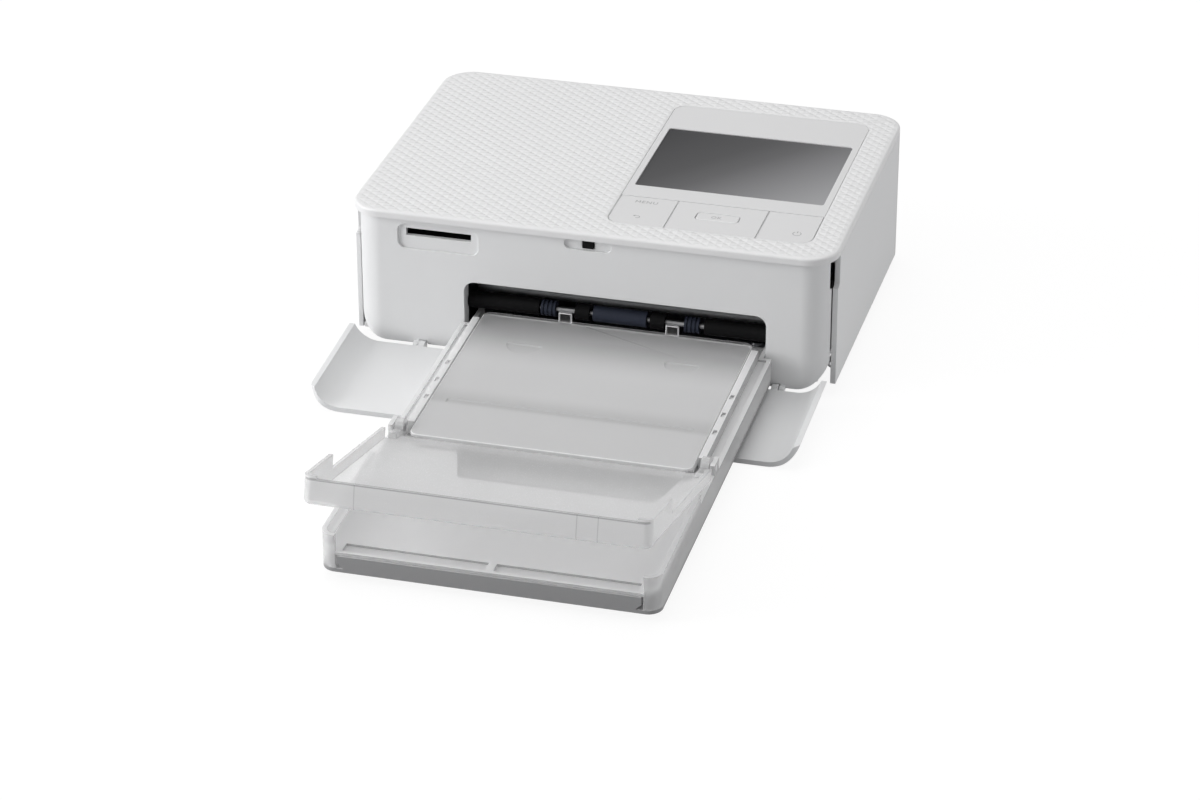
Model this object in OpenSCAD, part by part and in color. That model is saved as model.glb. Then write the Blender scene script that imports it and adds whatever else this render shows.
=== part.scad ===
// Compact dye-sublimation photo printer, front cover open and paper cassette in place.
// Millimetres. +X right, +Y to the rear, +Z up. The origin is on the table, under the
// middle of the printer body.

/* [Body] */
// Width of the printer body
body_w = 182.2; // [176:0.1:200]
// Depth of the printer body, front lip to rear panel
body_d = 133; // [130:0.5:150]
// Height from the table to the top surface
body_h = 57.6; // [57:0.1:66]
// Radius of the body's upright corners
corner_r = 12; // [8:0.5:16]
// Wall thickness of the casing parts
wall = 2; // [1.6:0.1:2.4]
// Height of the top cover's edge band
top_t = 2.8; // [2.4:0.1:3.4]
// Radius of the top cover's rolled edge
edge_r = 1; // [0.6:0.1:1.6]
// Height of the casing's underside above the table
foot_h = 3.9; // [3.2:0.1:5]
// Radius of the rubber feet
foot_r = 6; // [4:0.5:8]
// Seam between casing parts
seam = 0.15; // [0.1:0.05:0.3]
// Depth of the front face behind the top cover's lip
lip = 2; // [1.6:0.1:2.6]
// How far the front housing wraps round the sides
front_wrap = 10; // [9:0.5:12]
// Height where the side panels step back for a finger
step_z = 42.5; // [38:0.5:46]
// Set-back of the side panels above that step
step_y = 2.8; // [2:0.1:3.5]
// Finger gap in front of the ink door
finger_gap = 4.3; // [3:0.1:5]
// Radius of the front face's lower corners
front_low_r = 12; // [8:0.5:16]

/* [Front face] */
// Inset of the cassette opening's ends from the engine's side plates
open_in = 3.15; // [3:0.05:3.3]
// Offset of the opening, left of the paper lane's centre
open_shift = 0.95; // [0.7:0.05:1]
// Top of the cassette opening above the paper path
open_rise = 6.2; // [5.8:0.1:6.6]
// Radius of the opening's top corners
open_r = 4; // [2:0.5:6]
// Depth of the white jambs inside the opening
jamb_d = 5.7; // [5:0.1:5.8]
// Centre of the card slot from the body's left side
card_in = 34.3; // [31:0.1:36]
// Drop of the card slot's centre below the top cover
card_drop = 5.9; // [5.8:0.1:7]
// Width of the card slot
card_w = 24.7; // [24.4:0.1:26]
// Height of the card slot
card_h = 2.9; // [2.6:0.1:3.2]
// Depth of the finger recess round the card slot
card_dip = 1; // [0.6:0.1:1.2]
// Width of the oval latch recess
latch_w = 17.6; // [14:0.2:20]
// Height of the oval latch recess
latch_h = 4.2; // [3.8:0.1:4.4]

/* [Front cover] */
// Hinge axis behind the front lip
cover_axis_y = 0.6; // [0.4:0.1:1]
// Hinge axis below the casing's underside
cover_axis_drop = 0.3; // [0.2:0.1:0.4]
// Height of the front cover's side wings
wing_h = 8.3; // [7:0.1:9]
// Radius of the cover's free corners
cover_corner = 7; // [4:0.5:9]
// Radius of the cover's hinge knuckles
knuckle_r = 2.1; // [1.8:0.1:2.3]
// Width of a hinge knuckle
knuckle_w = 2.4; // [2:0.1:3]
// Radius of the cover's hinge pins
cover_pin_r = 0.8; // [0.6:0.05:1]
// Left knuckle's centre from the body's left side
knuckle_in_left = 27.9; // [25:0.1:31]
// Right knuckle's centre from the body's right side
knuckle_in_right = 20.3; // [19:0.1:20.5]

/* [Ink door] */
// Radius of the door's hinge pins
door_pin_r = 0.8; // [0.6:0.05:1]
// Radius of the door's hinge barrels
door_barrel_r = 1.7; // [1.5:0.05:1.8]
// Length of one door hinge barrel
door_barrel = 10; // [8:0.5:14]
// Distance of the two door barrels from the door's ends
door_barrel_in = 14; // [12:0.5:20]

/* [Control panel] */
// Right edge of the smooth control panel from the body's right side
panel_in = 11.1; // [9:0.1:12.5]
// Width of the control panel
panel_w = 76.4; // [76:0.2:79]
// Front edge of the control panel behind the front lip
panel_y = 12.5; // [11:0.5:14]
// Depth of the control panel
panel_d = 109; // [106:0.5:110]
// Corner radius of the control panel
panel_r = 5.5; // [4:0.5:7]
// Thickness of the control panel plate
panel_t = 1.5; // [1.2:0.1:1.8]
// Depth of the key row at the panel's front
key_row = 24; // [20:0.5:26]
// Width of the left key
key_left_w = 21.9; // [18:0.1:23]
// Width of the four-way pad
pad_w = 34; // [30:0.5:36]
// Gap round each key
key_gap = 0.25; // [0.2:0.05:0.35]
// Travel of a key
key_travel = 0.4; // [0.3:0.05:0.5]
// Width of the OK button
ok_w = 15.8; // [12:0.2:18]
// Depth of the OK button
ok_d = 6; // [5:0.2:8]
// Display window width, a 3.5 inch screen
lcd_w = 71.4; // [68:0.2:72]
// Display window depth
lcd_d = 53.4; // [50:0.2:55]
// Left edge of the display window from the panel's left edge
lcd_in = 2.5; // [2:0.1:3]
// Front edge of the display window from the panel's front edge
lcd_front = 33.5; // [31:0.5:36]
// Depth of the display glass below the panel's surface
lcd_dip = 0.4; // [0.2:0.1:0.6]

/* [Paper cassette] */
// Reach of the cassette in front of the printer's lip
cassette_reach = 163.5; // [160:0.5:168]
// Insertion of the cassette behind the printer's lip
cassette_in = 15; // [13:0.5:15.5]
// Height of the cassette's front edge above the table
cassette_z = 3.2; // [3:0.1:3.4]
// Clearance of the cassette's nose above the base pan
nose_lift = 0.48; // [0.4:0.02:0.6]
// Step from the cassette's nose out to its sides
shoulder = 3.1; // [2.7:0.1:3.3]
// Wall thickness of the cassette
cassette_wall = 1.6; // [1.2:0.1:1.8]
// Height of the cassette's side walls
cassette_h = 14.1; // [13.6:0.1:14.4]
// Radius of the cassette's front corners
cassette_r = 5; // [3:0.5:8]
// Height of the grey front strip of the lower tray
strip_h = 6.2; // [5.6:0.1:6.6]
// Inset of the grey front strip from the cassette's sides
strip_in = 6.2; // [5.4:0.1:8]
// Thickness of the lower tray's floor
tray_t = 1.2; // [1:0.1:1.4]
// Thickness of the output deck
deck_t = 1.2; // [1:0.1:1.4]
// Clearance between the cassette's nose and the opening, each side
nose_gap = 0.4; // [0.3:0.1:0.6]
// Inset of the inner cover from the cassette's sides
inner_in = 7.8; // [7.6:0.1:8.4]
// Thickness of the inner cover
inner_t = 1.4; // [1.2:0.1:1.6]
// Reach of the inner cover behind the opening's face
inner_reach = 3.6; // [3:0.1:4]
// Width of one upright rear tab of the inner cover
tab_w = 4.8; // [4:0.1:5.2]
// Height of the rear tabs above the inner cover
tab_h = 3.2; // [2.6:0.1:3.6]
// Distance of each tab's centre from the lane's centre
tab_x = 20.2; // [20:0.1:20.6]

/* [Outer lid] */
// Length of the outer lid from its hinge
lid_l = 95.1; // [92:0.1:98]
// Overhang of the outer lid beyond the cassette's sides
lid_over = 0.4; // [0:0.1:0.6]
// Tilt of the opened lid above the cassette
lid_tilt = 14.6; // [14.4:0.1:16]
// Distance of the lid's hinge behind the cassette's front
lid_hinge_v = 79.5; // [78:0.5:81]
// Height of the lid's hinge above the cassette's underside
lid_hinge_h = 11.9; // [11.8:0.1:12.2]
// Depth of the lid's underside below the hinge axis
lid_drop = 3.2; // [3:0.1:3.4]
// Wall thickness of the lid
lid_t = 1.5; // [1.2:0.1:1.6]
// Height of the lid's front wall
lid_front_h = 9.2; // [8:0.1:9.8]
// Height of the lid's corner posts
lid_post_h = 10.3; // [9.9:0.1:11]
// Height of the lid's low side walls
lid_side_h = 5.2; // [4.4:0.1:6]
// Length of the high wall at each front corner
lid_post_l = 27.3; // [24:0.1:30]
// Radius of the lid's front corners
lid_r = 3; // [2.6:0.2:6]
// Radius of the rolled edge round the lid's underside
lid_edge = 2; // [1:0.1:2.2]
// Radius of the lid's hinge pins
lid_pin_r = 1.4; // [1.2:0.05:1.5]

/* [Print engine] */
// Room for gears, motor and board left of the engine
gear_bay = 41.8; // [41:0.1:44]
// Room between the engine and the ink door's face
door_bay = 20.4; // [20.3:0.1:22]
// Height of the paper path above the base pan
path_h = 19.5; // [19.3:0.1:19.8]
// Radius of the pick-up rollers
pick_r = 3; // [2.8:0.1:3.2]
// Depth of the pick-up shaft below the paper path
pick_drop = 3.9; // [3.7:0.1:4.1]
// Place of the pick-up shaft behind the front lip
pick_y = 9; // [8.5:0.1:9.5]
// Radius of the pick-up shaft
pick_shaft_r = 1; // [0.8:0.05:1.2]
// Width of the middle pick-up roller
pick_mid_w = 20.1; // [18:0.1:21]
// Width of an outer pick-up roller
pick_side_w = 5.4; // [4.8:0.1:5.8]
// Distance of the outer pick-up rollers from the lane's centre
pick_side_x = 27.1; // [26.6:0.1:28]
// Radius of the black collars and shaft covers
collar_r = 3.1; // [2.9:0.1:3.2]
// Width of a shaft collar
collar_w = 5.4; // [4.6:0.1:5.6]
// Distance of the shaft collars from the lane's centre
collar_x = 14.2; // [14:0.1:14.4]
// Radius of the feed roller
feed_r = 4; // [3.6:0.1:4]
// Radius of the pinch roller
pinch_r = 3; // [2.8:0.1:3.2]
// Radius of the platen roller
platen_r = 6.5; // [6:0.1:7]
// Place of the platen roller behind the front lip
platen_y = 60; // [58:0.2:61]
// Radius of the roller shaft ends
journal_r = 2; // [1.8:0.1:2.2]
// Thickness of the steel chassis plates
plate_t = 1; // [0.8:0.1:1.2]
// Radial running clearance of shafts, pins and bushes
fit = 0.05; // [0.03:0.01:0.08]
// Radius of the ink cartridge's tubes
tube_r = 9.5; // [9:0.1:9.8]
// Height of the ink spools above the paper path
spool_h = 12.6; // [12.4:0.1:13]
// Wall of the ink cartridge
ink_wall = 1.2; // [1:0.1:1.4]
// Reach of the ink cartridge beyond the right side plate
ink_out = 13; // [11:0.5:14]

/* [Gears] */
// Module of the gear train
gear_m = 0.8; // [0.8:0.05:0.85]
// Teeth of the pick-up gear
pick_teeth = 10; // [9:1:10]
// Teeth of the feed gear
feed_teeth = 30; // [30:1:31]
// Teeth of the take-up spool gear
take_teeth = 24; // [24:1:25]
// Teeth of the idler gear
idler_teeth = 36; // [35:1:36]
// Teeth of the motor pinion
pinion_teeth = 12; // [12:1:13]
// Face width of a gear
gear_w = 3; // [2.4:0.1:3.2]
// Backlash of a gear tooth
backlash = 0.16; // [0.12:0.01:0.2]

/* [Hidden] */
$fn = 64;

// Overlap that makes a cut run clean through a face
cut = 1;
front_y = -body_d / 2;
side_x = body_w / 2;
wall_top = body_h - top_t;
pod_h = wall_top - foot_h;
base_z = foot_h + wall;
path_z = base_z + path_h;
spool_z = path_z + spool_h;
open_top = path_z + open_rise;
card_z = wall_top - card_drop;
card_x = -side_x + card_in;
knuckle_left = -side_x + knuckle_in_left;
knuckle_right = side_x - knuckle_in_right;
panel_x = side_x - panel_in - panel_w;
function fy(d) = front_y + d;

// Engine between its side plates, and the cassette opening in front of it
engine_w = body_w - gear_bay - door_bay;
lane_x = (gear_bay - door_bay) / 2;
open_w = engine_w - 2 * open_in;
open_x = lane_x - open_shift;

// Front cover: it lies open with its free edge just off the table
cover_axis_z = foot_h - cover_axis_drop;
cover_rest = 0.05;
cover_open = 90 + asin((cover_axis_z - cover_axis_y - cover_rest)
    / (wall_top - seam - cover_axis_z));

// Slope of the cassette from its seat in the printer down to its front
cassette_tilt = atan((base_z + nose_lift - cassette_z) / (cassette_reach + lip));

// Engine axes, each as [distance behind the front lip, height]
pick_axis = [pick_y, path_z - pick_drop];
feed_gap = gear_m * (pick_teeth + feed_teeth) / 2;
feed_z = path_z - feed_r - 0.1;
feed_axis = [pick_y + sqrt(pow(feed_gap, 2) - pow(pick_axis[1] - feed_z, 2)), feed_z];
pinch_axis = [feed_axis[0], path_z + 0.2 + pinch_r];
platen_axis = [platen_y, path_z - 0.1 - platen_r];
take_gap = gear_m * (feed_teeth + take_teeth) / 2;
take_axis = [feed_axis[0] + sqrt(pow(take_gap, 2) - pow(spool_z - feed_z, 2)), spool_z];
supply_axis = [2 * platen_y - take_axis[0], spool_z];
idler_gap = gear_m * (feed_teeth + idler_teeth) / 2;
idler_axis = [feed_axis[0] + idler_gap * cos(6), feed_axis[1] + idler_gap * sin(6)];
pinion_gap = gear_m * (idler_teeth + pinion_teeth) / 2;
pinion_axis = [idler_axis[0] + pinion_gap * cos(12), idler_axis[1] + pinion_gap * sin(12)];

// Side plates of the engine and the gear layers left of them
plate_left = lane_x - engine_w / 2;
plate_right = lane_x + engine_w / 2;
gear_x = plate_left - plate_t - 2.5;
layer_w = gear_w + 1;

// Key row inside the control panel
panel_cx = panel_x + panel_w / 2;
panel_cy = fy(panel_y + panel_d / 2);
key_back = panel_y + key_row;
key_x1 = panel_x + key_left_w;
key_x2 = key_x1 + pad_w;

// Cassette levels, measured from its underside
rim_h = 1.4;
deck_z = strip_h + 0.1;
inner_top = 12.4;
ledge_h = 9.5;
nose_w = open_w - 2 * (open_shift + nose_gap);
cassette_w = nose_w + 2 * shoulder;
strip_w = cassette_w - 2 * strip_in;
inner_w = cassette_w - 2 * inner_in;
lid_w = cassette_w + 2 * lid_over;
lid_half = cassette_w / 2 - cassette_wall - 0.6;
cassette_l = cassette_reach + cassette_in;
mouth_v = cassette_reach + lip;

// Shapes used by several parts

module rounded_rect(w, d, r) {
    square([w - 2 * r, d], center = true);
    square([w, d - 2 * r], center = true);
    for (x = [-1, 1], y = [-1, 1])
        translate([x * (w / 2 - r), y * (d / 2 - r)]) circle(r);
}

module rounded_box(w, d, h, r) {
    linear_extrude(h) rounded_rect(w, d, r);
}

// Slab with upright corners of radius r and a rolled top edge of radius f
module rolled_slab(w, d, h, r, f) {
    module edge() {
        square([r - f, h]);
        square([r, h - f]);
        intersection() {
            translate([r - f, h - f]) circle(f);
            square([r, h]);
        }
    }
    linear_extrude(h) square([w - 2 * r, d - 2 * r], center = true);
    for (s = [0, 1]) rotate(180 * s) {
        translate([w / 2 - r, 0, 0]) rotate([90, 0, 0])
            linear_extrude(d - 2 * r, center = true) edge();
        rotate(90) translate([d / 2 - r, 0, 0]) rotate([90, 0, 0])
            linear_extrude(w - 2 * r, center = true) edge();
        translate([w / 2 - r, d / 2 - r, 0]) rotate_extrude(angle = 90) edge();
        translate([-(w / 2 - r), d / 2 - r, 0]) rotate(90) rotate_extrude(angle = 90) edge();
    }
}

// Cylinder lying along X from x0 to x1, centred on an axis [y, z]
module bar_x(axis, x0, x1, r) {
    translate([x0, fy(axis[0]), axis[1]]) rotate([90, 0, 90]) cylinder(h = x1 - x0, r = r);
}

// Outline in the Y-Z plane pushed out along X from x0 to x1
module slab_x(x0, x1) {
    translate([x0, 0, 0]) rotate([90, 0, 90]) linear_extrude(x1 - x0) children();
}

// Outline in the X-Z plane pushed out along Y from y0 to y1
module slab_y(y0, y1) {
    translate([0, y1, 0]) rotate([90, 0, 0]) linear_extrude(y1 - y0) children();
}

module block(x0, x1, y0, y1, z0, z1) {
    translate([x0, y0, z0]) cube([x1 - x0, y1 - y0, z1 - z0]);
}

// Spur gear of straight-flanked teeth in the Y-Z plane, from x0 towards +X
module gear(axis, teeth, x0, width, bore, turn = 0) {
    pitch_r = gear_m * teeth / 2;
    root_r = pitch_r - 1.25 * gear_m;
    tip_r = pitch_r + 0.95 * gear_m;
    half = (PI * gear_m / 2 - backlash) / 2;
    slope = tan(20);
    tip_half = half - (tip_r - pitch_r) * slope;
    tooth = [[0, -half], [pitch_r, -half], [tip_r, -tip_half], [tip_r, tip_half],
        [pitch_r, half], [0, half]];
    translate([x0, fy(axis[0]), axis[1]]) rotate([90, 0, 90]) linear_extrude(width)
        difference() {
            union() {
                circle(root_r);
                for (i = [0 : teeth - 1]) rotate(turn + i * 360 / teeth) polygon(tooth);
            }
            circle(bore);
        }
}

// Direction from one engine axis to another
function bearing(a, b) = atan2(b[1] - a[1], b[0] - a[0]);
// Turn that puts a driven gear's tooth gap on the line of centres
function meshed(from, to, from_teeth, to_teeth, from_turn) =
    let (line = bearing(from, to), step = 360 / to_teeth,
        phase = (line - from_turn) * from_teeth / 360)
    line + 180 + step / 2 + (phase - floor(phase)) * step;

// Casing

// Plan outline of the whole body, drawn in by a margin
module body_plan(margin) {
    rounded_rect(body_w - 2 * margin, body_d - 2 * margin, corner_r - margin);
}

module panel_plan(margin) {
    translate([panel_cx, panel_cy])
        rounded_rect(panel_w - 2 * margin, panel_d - 2 * margin, panel_r - margin);
}

module top_cover() {
    ledge = 2;
    color("whitesmoke") difference() {
        translate([0, 0, wall_top]) rolled_slab(body_w, body_d, top_t, corner_r, edge_r);
        translate([0, 0, body_h - panel_t]) linear_extrude(panel_t + cut) panel_plan(-seam);
        translate([0, 0, wall_top - cut]) linear_extrude(top_t + cut) {
            panel_plan(ledge);
            intersection() {
                panel_plan(-seam);
                translate([-side_x, fy(panel_y - cut)]) square([body_w, key_row + cut]);
            }
        }
    }
    // bosses that carry the key board
    color("whitesmoke") for (p = key_board_bosses)
        translate([p[0], p[1], key_board_z + 1.6])
        cylinder(h = wall_top - key_board_z - 1.6 + 0.2, r = 1.8);
}

// Wall of the front housing in plan, wrapped round both corners as far as given
module front_plan(wrap) {
    intersection() {
        difference() {
            body_plan(lip);
            body_plan(lip + wall);
        }
        translate([-side_x, front_y]) square([body_w, wrap]);
    }
}

// What a corner radius r takes off a face seen from the front, left and right.
// The face ends at height z and lies below it (up = 1) or above it (up = -1).
module corner_waste(z, r, up, half = side_x) {
    for (s = [-1, 1]) difference() {
        translate([s * (half - r + (r + cut) / 2), z - up * (r - (r + cut) / 2)])
            square(r + cut, center = true);
        translate([s * (half - r), z - up * r]) circle(r);
    }
}

// Rounds off the lower corners of the front face
module front_low_cut() {
    corner_waste(foot_h, front_low_r, -1, side_x - lip);
}

// Cassette opening seen from the front, grown by a margin above the given sill
module opening_outline(margin, sill) {
    w = open_w + 2 * margin;
    top = open_top + margin;
    r = open_r + margin;
    translate([open_x - w / 2, sill]) square([w, top - r - sill]);
    translate([open_x - w / 2 + r, top - r - cut]) square([w - 2 * r, r + cut]);
    for (s = [-1, 1]) translate([open_x + s * (w / 2 - r), top - r]) intersection() {
        circle(r);
        translate([0, r]) square(2 * r, center = true);
    }
}

// Wall of the jambs
jamb_t = 1.6;

module front_housing() {
    face = fy(lip);
    recess_w = card_w + 6;
    recess_h = card_h + 7;
    lug_t = 2;
    color("gainsboro") {
        difference() {
            union() {
                translate([0, 0, foot_h]) linear_extrude(step_z - foot_h)
                    front_plan(front_wrap - seam);
                translate([0, 0, step_z - 0.01]) linear_extrude(wall_top - seam - step_z)
                    front_plan(front_wrap + step_y - finger_gap);
                // pocket of the card slot and pad behind the latch recess
                block(card_x - recess_w / 2, card_x + recess_w / 2, face, face + wall + card_dip,
                    card_z - recess_h / 2, wall_top - seam);
                block(-latch_w / 2 - wall, latch_w / 2 + wall, face, face + wall + card_dip,
                    wall_top - latch_h - 2 * wall, wall_top - seam);
            }
            slab_y(fy(-cut), fy(front_wrap + cut)) front_low_cut();
            slab_y(fy(-cut), face + wall + 2 * cut) opening_outline(0, base_z);
            // finger recess and slot for the memory card
            slab_y(face - cut, face + card_dip) translate([card_x, card_z - 1.4])
                rounded_rect(recess_w, recess_h, 3);
            block(card_x - card_w / 2, card_x + card_w / 2, face - cut, face + 2 * wall + cut,
                card_z - card_h / 2, card_z + card_h / 2);
            // latch recess with the catch's window
            slab_y(face - cut, face + card_dip) translate([0, wall_top - latch_h / 2 - 0.6])
                rounded_rect(latch_w, latch_h, latch_h / 2 - 0.01);
            block(-2.3, 2.3, face - cut, face + 2 * wall + cut,
                wall_top - latch_h / 2 - 2.2, wall_top - latch_h / 2 + 1);
            // clearance of the cover's knuckles
            for (x = [knuckle_left, knuckle_right]) hinge_room(x);
        }
        // jambs that line the opening
        slab_y(face + wall - 0.1, face + jamb_d) difference() {
            opening_outline(jamb_t, base_z + seam);
            opening_outline(0, base_z - cut);
        }
        // hinge lugs outboard of the knuckles
        for (x = [knuckle_left - lug_step(), knuckle_right + lug_step()]) difference() {
            union() {
                bar_x([cover_axis_y, cover_axis_z], x - lug_t / 2, x + lug_t / 2,
                    cover_pin_r + 0.8);
                block(x - lug_t / 2, x + lug_t / 2, fy(cover_axis_y), face + 0.5, foot_h - 0.6,
                    cover_axis_z + cover_pin_r + 0.8);
            }
            bar_x([cover_axis_y, cover_axis_z], x - lug_t, x + lug_t, cover_pin_r + fit);
        }
    }
}

// Distance from a knuckle's centre to the lug beside it
function lug_step() = knuckle_w / 2 + 0.3 + 1;

module hinge_room(x) {
    bar_x([cover_axis_y, cover_axis_z], x - knuckle_w / 2 - 0.3, x + knuckle_w / 2 + 0.3,
        knuckle_r + 0.3);
}

// Side panel seen from the side, stepped back above the finger notch
module side_outline(front, rear) {
    step_r = 2;
    difference() {
        translate([fy(front), foot_h]) square([rear - front, pod_h - seam]);
        translate([fy(front) - cut, step_z]) square([step_y + cut, pod_h]);
    }
    translate([fy(front + step_y - step_r), step_z]) difference() {
        square(step_r);
        translate([0, step_r]) circle(step_r);
    }
}

side_front = front_wrap;
side_rear = body_d - corner_r;

module left_panel() {
    color("gainsboro") {
        slab_x(-side_x, -side_x + wall) side_outline(side_front, side_rear - seam);
        for (d = [30, 65, 100]) block(-side_x + wall, -side_x + wall + 2,
            fy(d), fy(d + 2), foot_h + 8, wall_top - 6);
    }
}

module rear_panel() {
    slot_pitch = 4.2;
    vent_x = side_x - 55.1;
    color("gainsboro") difference() {
        translate([0, 0, foot_h]) linear_extrude(pod_h - seam) intersection() {
            difference() {
                body_plan(0);
                body_plan(wall);
            }
            translate([-side_x, fy(side_rear)]) square([body_w, corner_r]);
        }
        // paper pass slot
        block(lane_x - open_w / 2, lane_x + open_w / 2, fy(body_d - wall - cut), fy(body_d + cut),
            path_z - 3, path_z + 3);
        // vent slots
        for (i = [0 : 11]) translate([vent_x + i * slot_pitch, fy(body_d - wall / 2), 42])
            rotate([90, 0, 0]) linear_extrude(wall + 2 * cut, center = true)
            rounded_rect(2, 12, 0.99);
        // notch for the port plate
        block(port_x0, port_x1, fy(body_d - wall - cut), fy(body_d + cut), foot_h - cut, port_top);
        // lock slot
        translate([side_x - 13.1, fy(body_d - wall / 2), 12]) rotate([90, 0, 0])
            linear_extrude(wall + 2 * cut, center = true) rounded_rect(7, 3, 1.4);
    }
}

power_x = -side_x + 17.1;
power_z = 15;
usb_x = -side_x + 33.1;
usb_z = 13;

// Notch in the rear panel round the power inlet and the data port
port_x0 = power_x - 4.6;
port_x1 = usb_x + 7;
port_top = power_z + 6.5;

module port_plate() {
    color("gainsboro") difference() {
        block(port_x0 + seam, port_x1 - seam, fy(body_d - wall), fy(body_d), foot_h,
            port_top - seam);
        power_hole();
        usb_hole();
    }
}

module power_hole() {
    translate([power_x, fy(body_d - wall / 2), power_z]) rotate([90, 0, 0])
        cylinder(h = wall + 2 * cut, r = 3.2, center = true);
}

module usb_hole() {
    translate([usb_x, fy(body_d - wall / 2), usb_z]) rotate([90, 0, 0])
        linear_extrude(wall + 2 * cut, center = true) rounded_rect(9.4, 3.6, 1.7);
}

// Door hinge line: inside the door's foot, clear of the base pan
door_axis_x = side_x - wall - 1.8;
door_axis_z = foot_h + 2.1;
door_barrels = [side_front + door_barrel_in, side_rear - door_barrel_in - door_barrel];

module door_barrel_at(d) {
    translate([door_axis_x, fy(d), door_axis_z]) rotate([-90, 0, 0]) difference() {
        cylinder(h = door_barrel, r = door_barrel_r);
        translate([0, 0, -cut]) cylinder(h = door_barrel + 2 * cut, r = door_pin_r + fit);
    }
}

module ink_door() {
    catch_z = wall_top - 8;
    color("gainsboro") {
        slab_x(side_x - wall, side_x) side_outline(side_front, side_rear - seam);
        for (d = door_barrels) {
            door_barrel_at(d);
            // web from the barrel to the door
            difference() {
                block(door_axis_x, side_x - wall + 0.2, fy(d), fy(d + door_barrel),
                    door_axis_z - 0.6, door_axis_z + door_barrel_r);
                translate([door_axis_x, fy(d - cut), door_axis_z]) rotate([-90, 0, 0])
                    cylinder(h = door_barrel + 2 * cut, r = door_barrel_r - 0.3);
            }
        }
        // stiffening ribs and the catch hook
        for (d = [40, 65, 90]) block(side_x - wall - 1.2, side_x - wall, fy(d), fy(d + 1.6),
            foot_h + 8, wall_top - 8);
        block(side_x - wall - 3, side_x - wall, fy(side_front + 12), fy(side_front + 18),
            catch_z, catch_z + 1.6);
        block(side_x - wall - 3, side_x - wall - 1.8, fy(side_front + 12),
            fy(side_front + 18), catch_z, catch_z + 2.6);
    }
}

module door_pins() {
    color("silver") for (d = door_barrels)
        translate([door_axis_x, fy(d - 2.8), door_axis_z]) rotate([-90, 0, 0])
        cylinder(h = door_barrel + 5.6, r = door_pin_r);
}

// Foot places as [x, distance behind the front lip]
foot_x = side_x - 15.1;
foot_places = [[-foot_x, 16], [foot_x, 16], [-foot_x, body_d - 18], [foot_x, body_d - 18]];
pan_left = -side_x + wall + seam;
pan_right = door_axis_x - 2.9;
pan_front = lip + wall + seam;
pan_rear = body_d - wall - seam;

// Plan of the base pan: inside the front housing, then out to the side and rear panels
module pan_plan() {
    intersection() {
        body_plan(lip + wall + seam);
        translate([-side_x, front_y]) square([side_x + pan_right, front_wrap + wall]);
    }
    intersection() {
        body_plan(wall + seam);
        translate([-side_x, fy(front_wrap)]) square([side_x + pan_right, body_d - front_wrap]);
    }
}

module base_pan() {
    ear_t = 2.4;
    ear_gap = 0.3;
    rail_w = 3;
    color("lightgray") {
        difference() {
            union() {
                difference() {
                    translate([0, 0, foot_h]) linear_extrude(wall) pan_plan();
                    slab_y(fy(-cut), fy(front_wrap)) front_low_cut();
                }
                // stiffening rim along both sides, inside the casing
                for (x = [pan_left + 4, pan_right - 8]) block(x, x + 1.6, fy(20),
                    fy(pan_rear - corner_r), base_z - 0.2, base_z + 3);
                // bosses under the engine chassis
                for (p = chassis_feet) translate([p[0], fy(p[1]), foot_h])
                    cylinder(h = chassis_z - foot_h, r = 3.5);
                // bosses under the main board
                for (p = board_feet) translate([p[0], fy(p[1]), foot_h])
                    cylinder(h = board_z - foot_h, r = 2.6);
            }
            for (p = chassis_feet) translate([p[0], fy(p[1]), foot_h + 1])
                cylinder(h = chassis_z, r = 1.2);
            for (p = board_feet) translate([p[0], fy(p[1]), foot_h + 1])
                cylinder(h = board_z, r = 0.9);
            // underside vents
            for (i = [0 : 7]) translate([-20 + i * 7, fy(body_d - 21), foot_h - cut])
                linear_extrude(wall + 2 * cut) rounded_rect(2.6, 18, 1.29);
        }
        // runners under the cassette's nose
        for (s = [-1, 1]) block(lane_x + s * 40 - rail_w / 2, lane_x + s * 40 + rail_w / 2,
            fy(pan_front), fy(pan_front + 12), base_z - 0.2, nose_floor() - 0.25);
        // ears that carry the door's pins
        for (d = door_barrels, e = [d - ear_gap - ear_t, d + door_barrel + ear_gap])
            difference() {
                union() {
                    translate([door_axis_x, fy(e), door_axis_z]) rotate([-90, 0, 0])
                        cylinder(h = ear_t, r = door_barrel_r);
                    block(pan_right - 3, door_axis_x, fy(e), fy(e + ear_t), base_z - 0.2,
                        door_axis_z + door_barrel_r);
                }
                translate([door_axis_x, fy(e - cut), door_axis_z]) rotate([-90, 0, 0])
                    cylinder(h = ear_t + 2 * cut, r = door_pin_r);
            }
    }
}

module feet() {
    color("dimgray") for (p = foot_places) translate([p[0], fy(p[1]), 0]) {
        cylinder(h = 1, r1 = foot_r - 1, r2 = foot_r);
        translate([0, 0, 1]) cylinder(h = foot_h - 1, r = foot_r);
    }
}

// Front cover, drawn shut in its own frame and turned down about its hinge

module in_cover() {
    translate([0, fy(cover_axis_y), cover_axis_z]) rotate([cover_open, 0, 0])
        translate([0, -fy(cover_axis_y), -cover_axis_z]) children();
}

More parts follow.
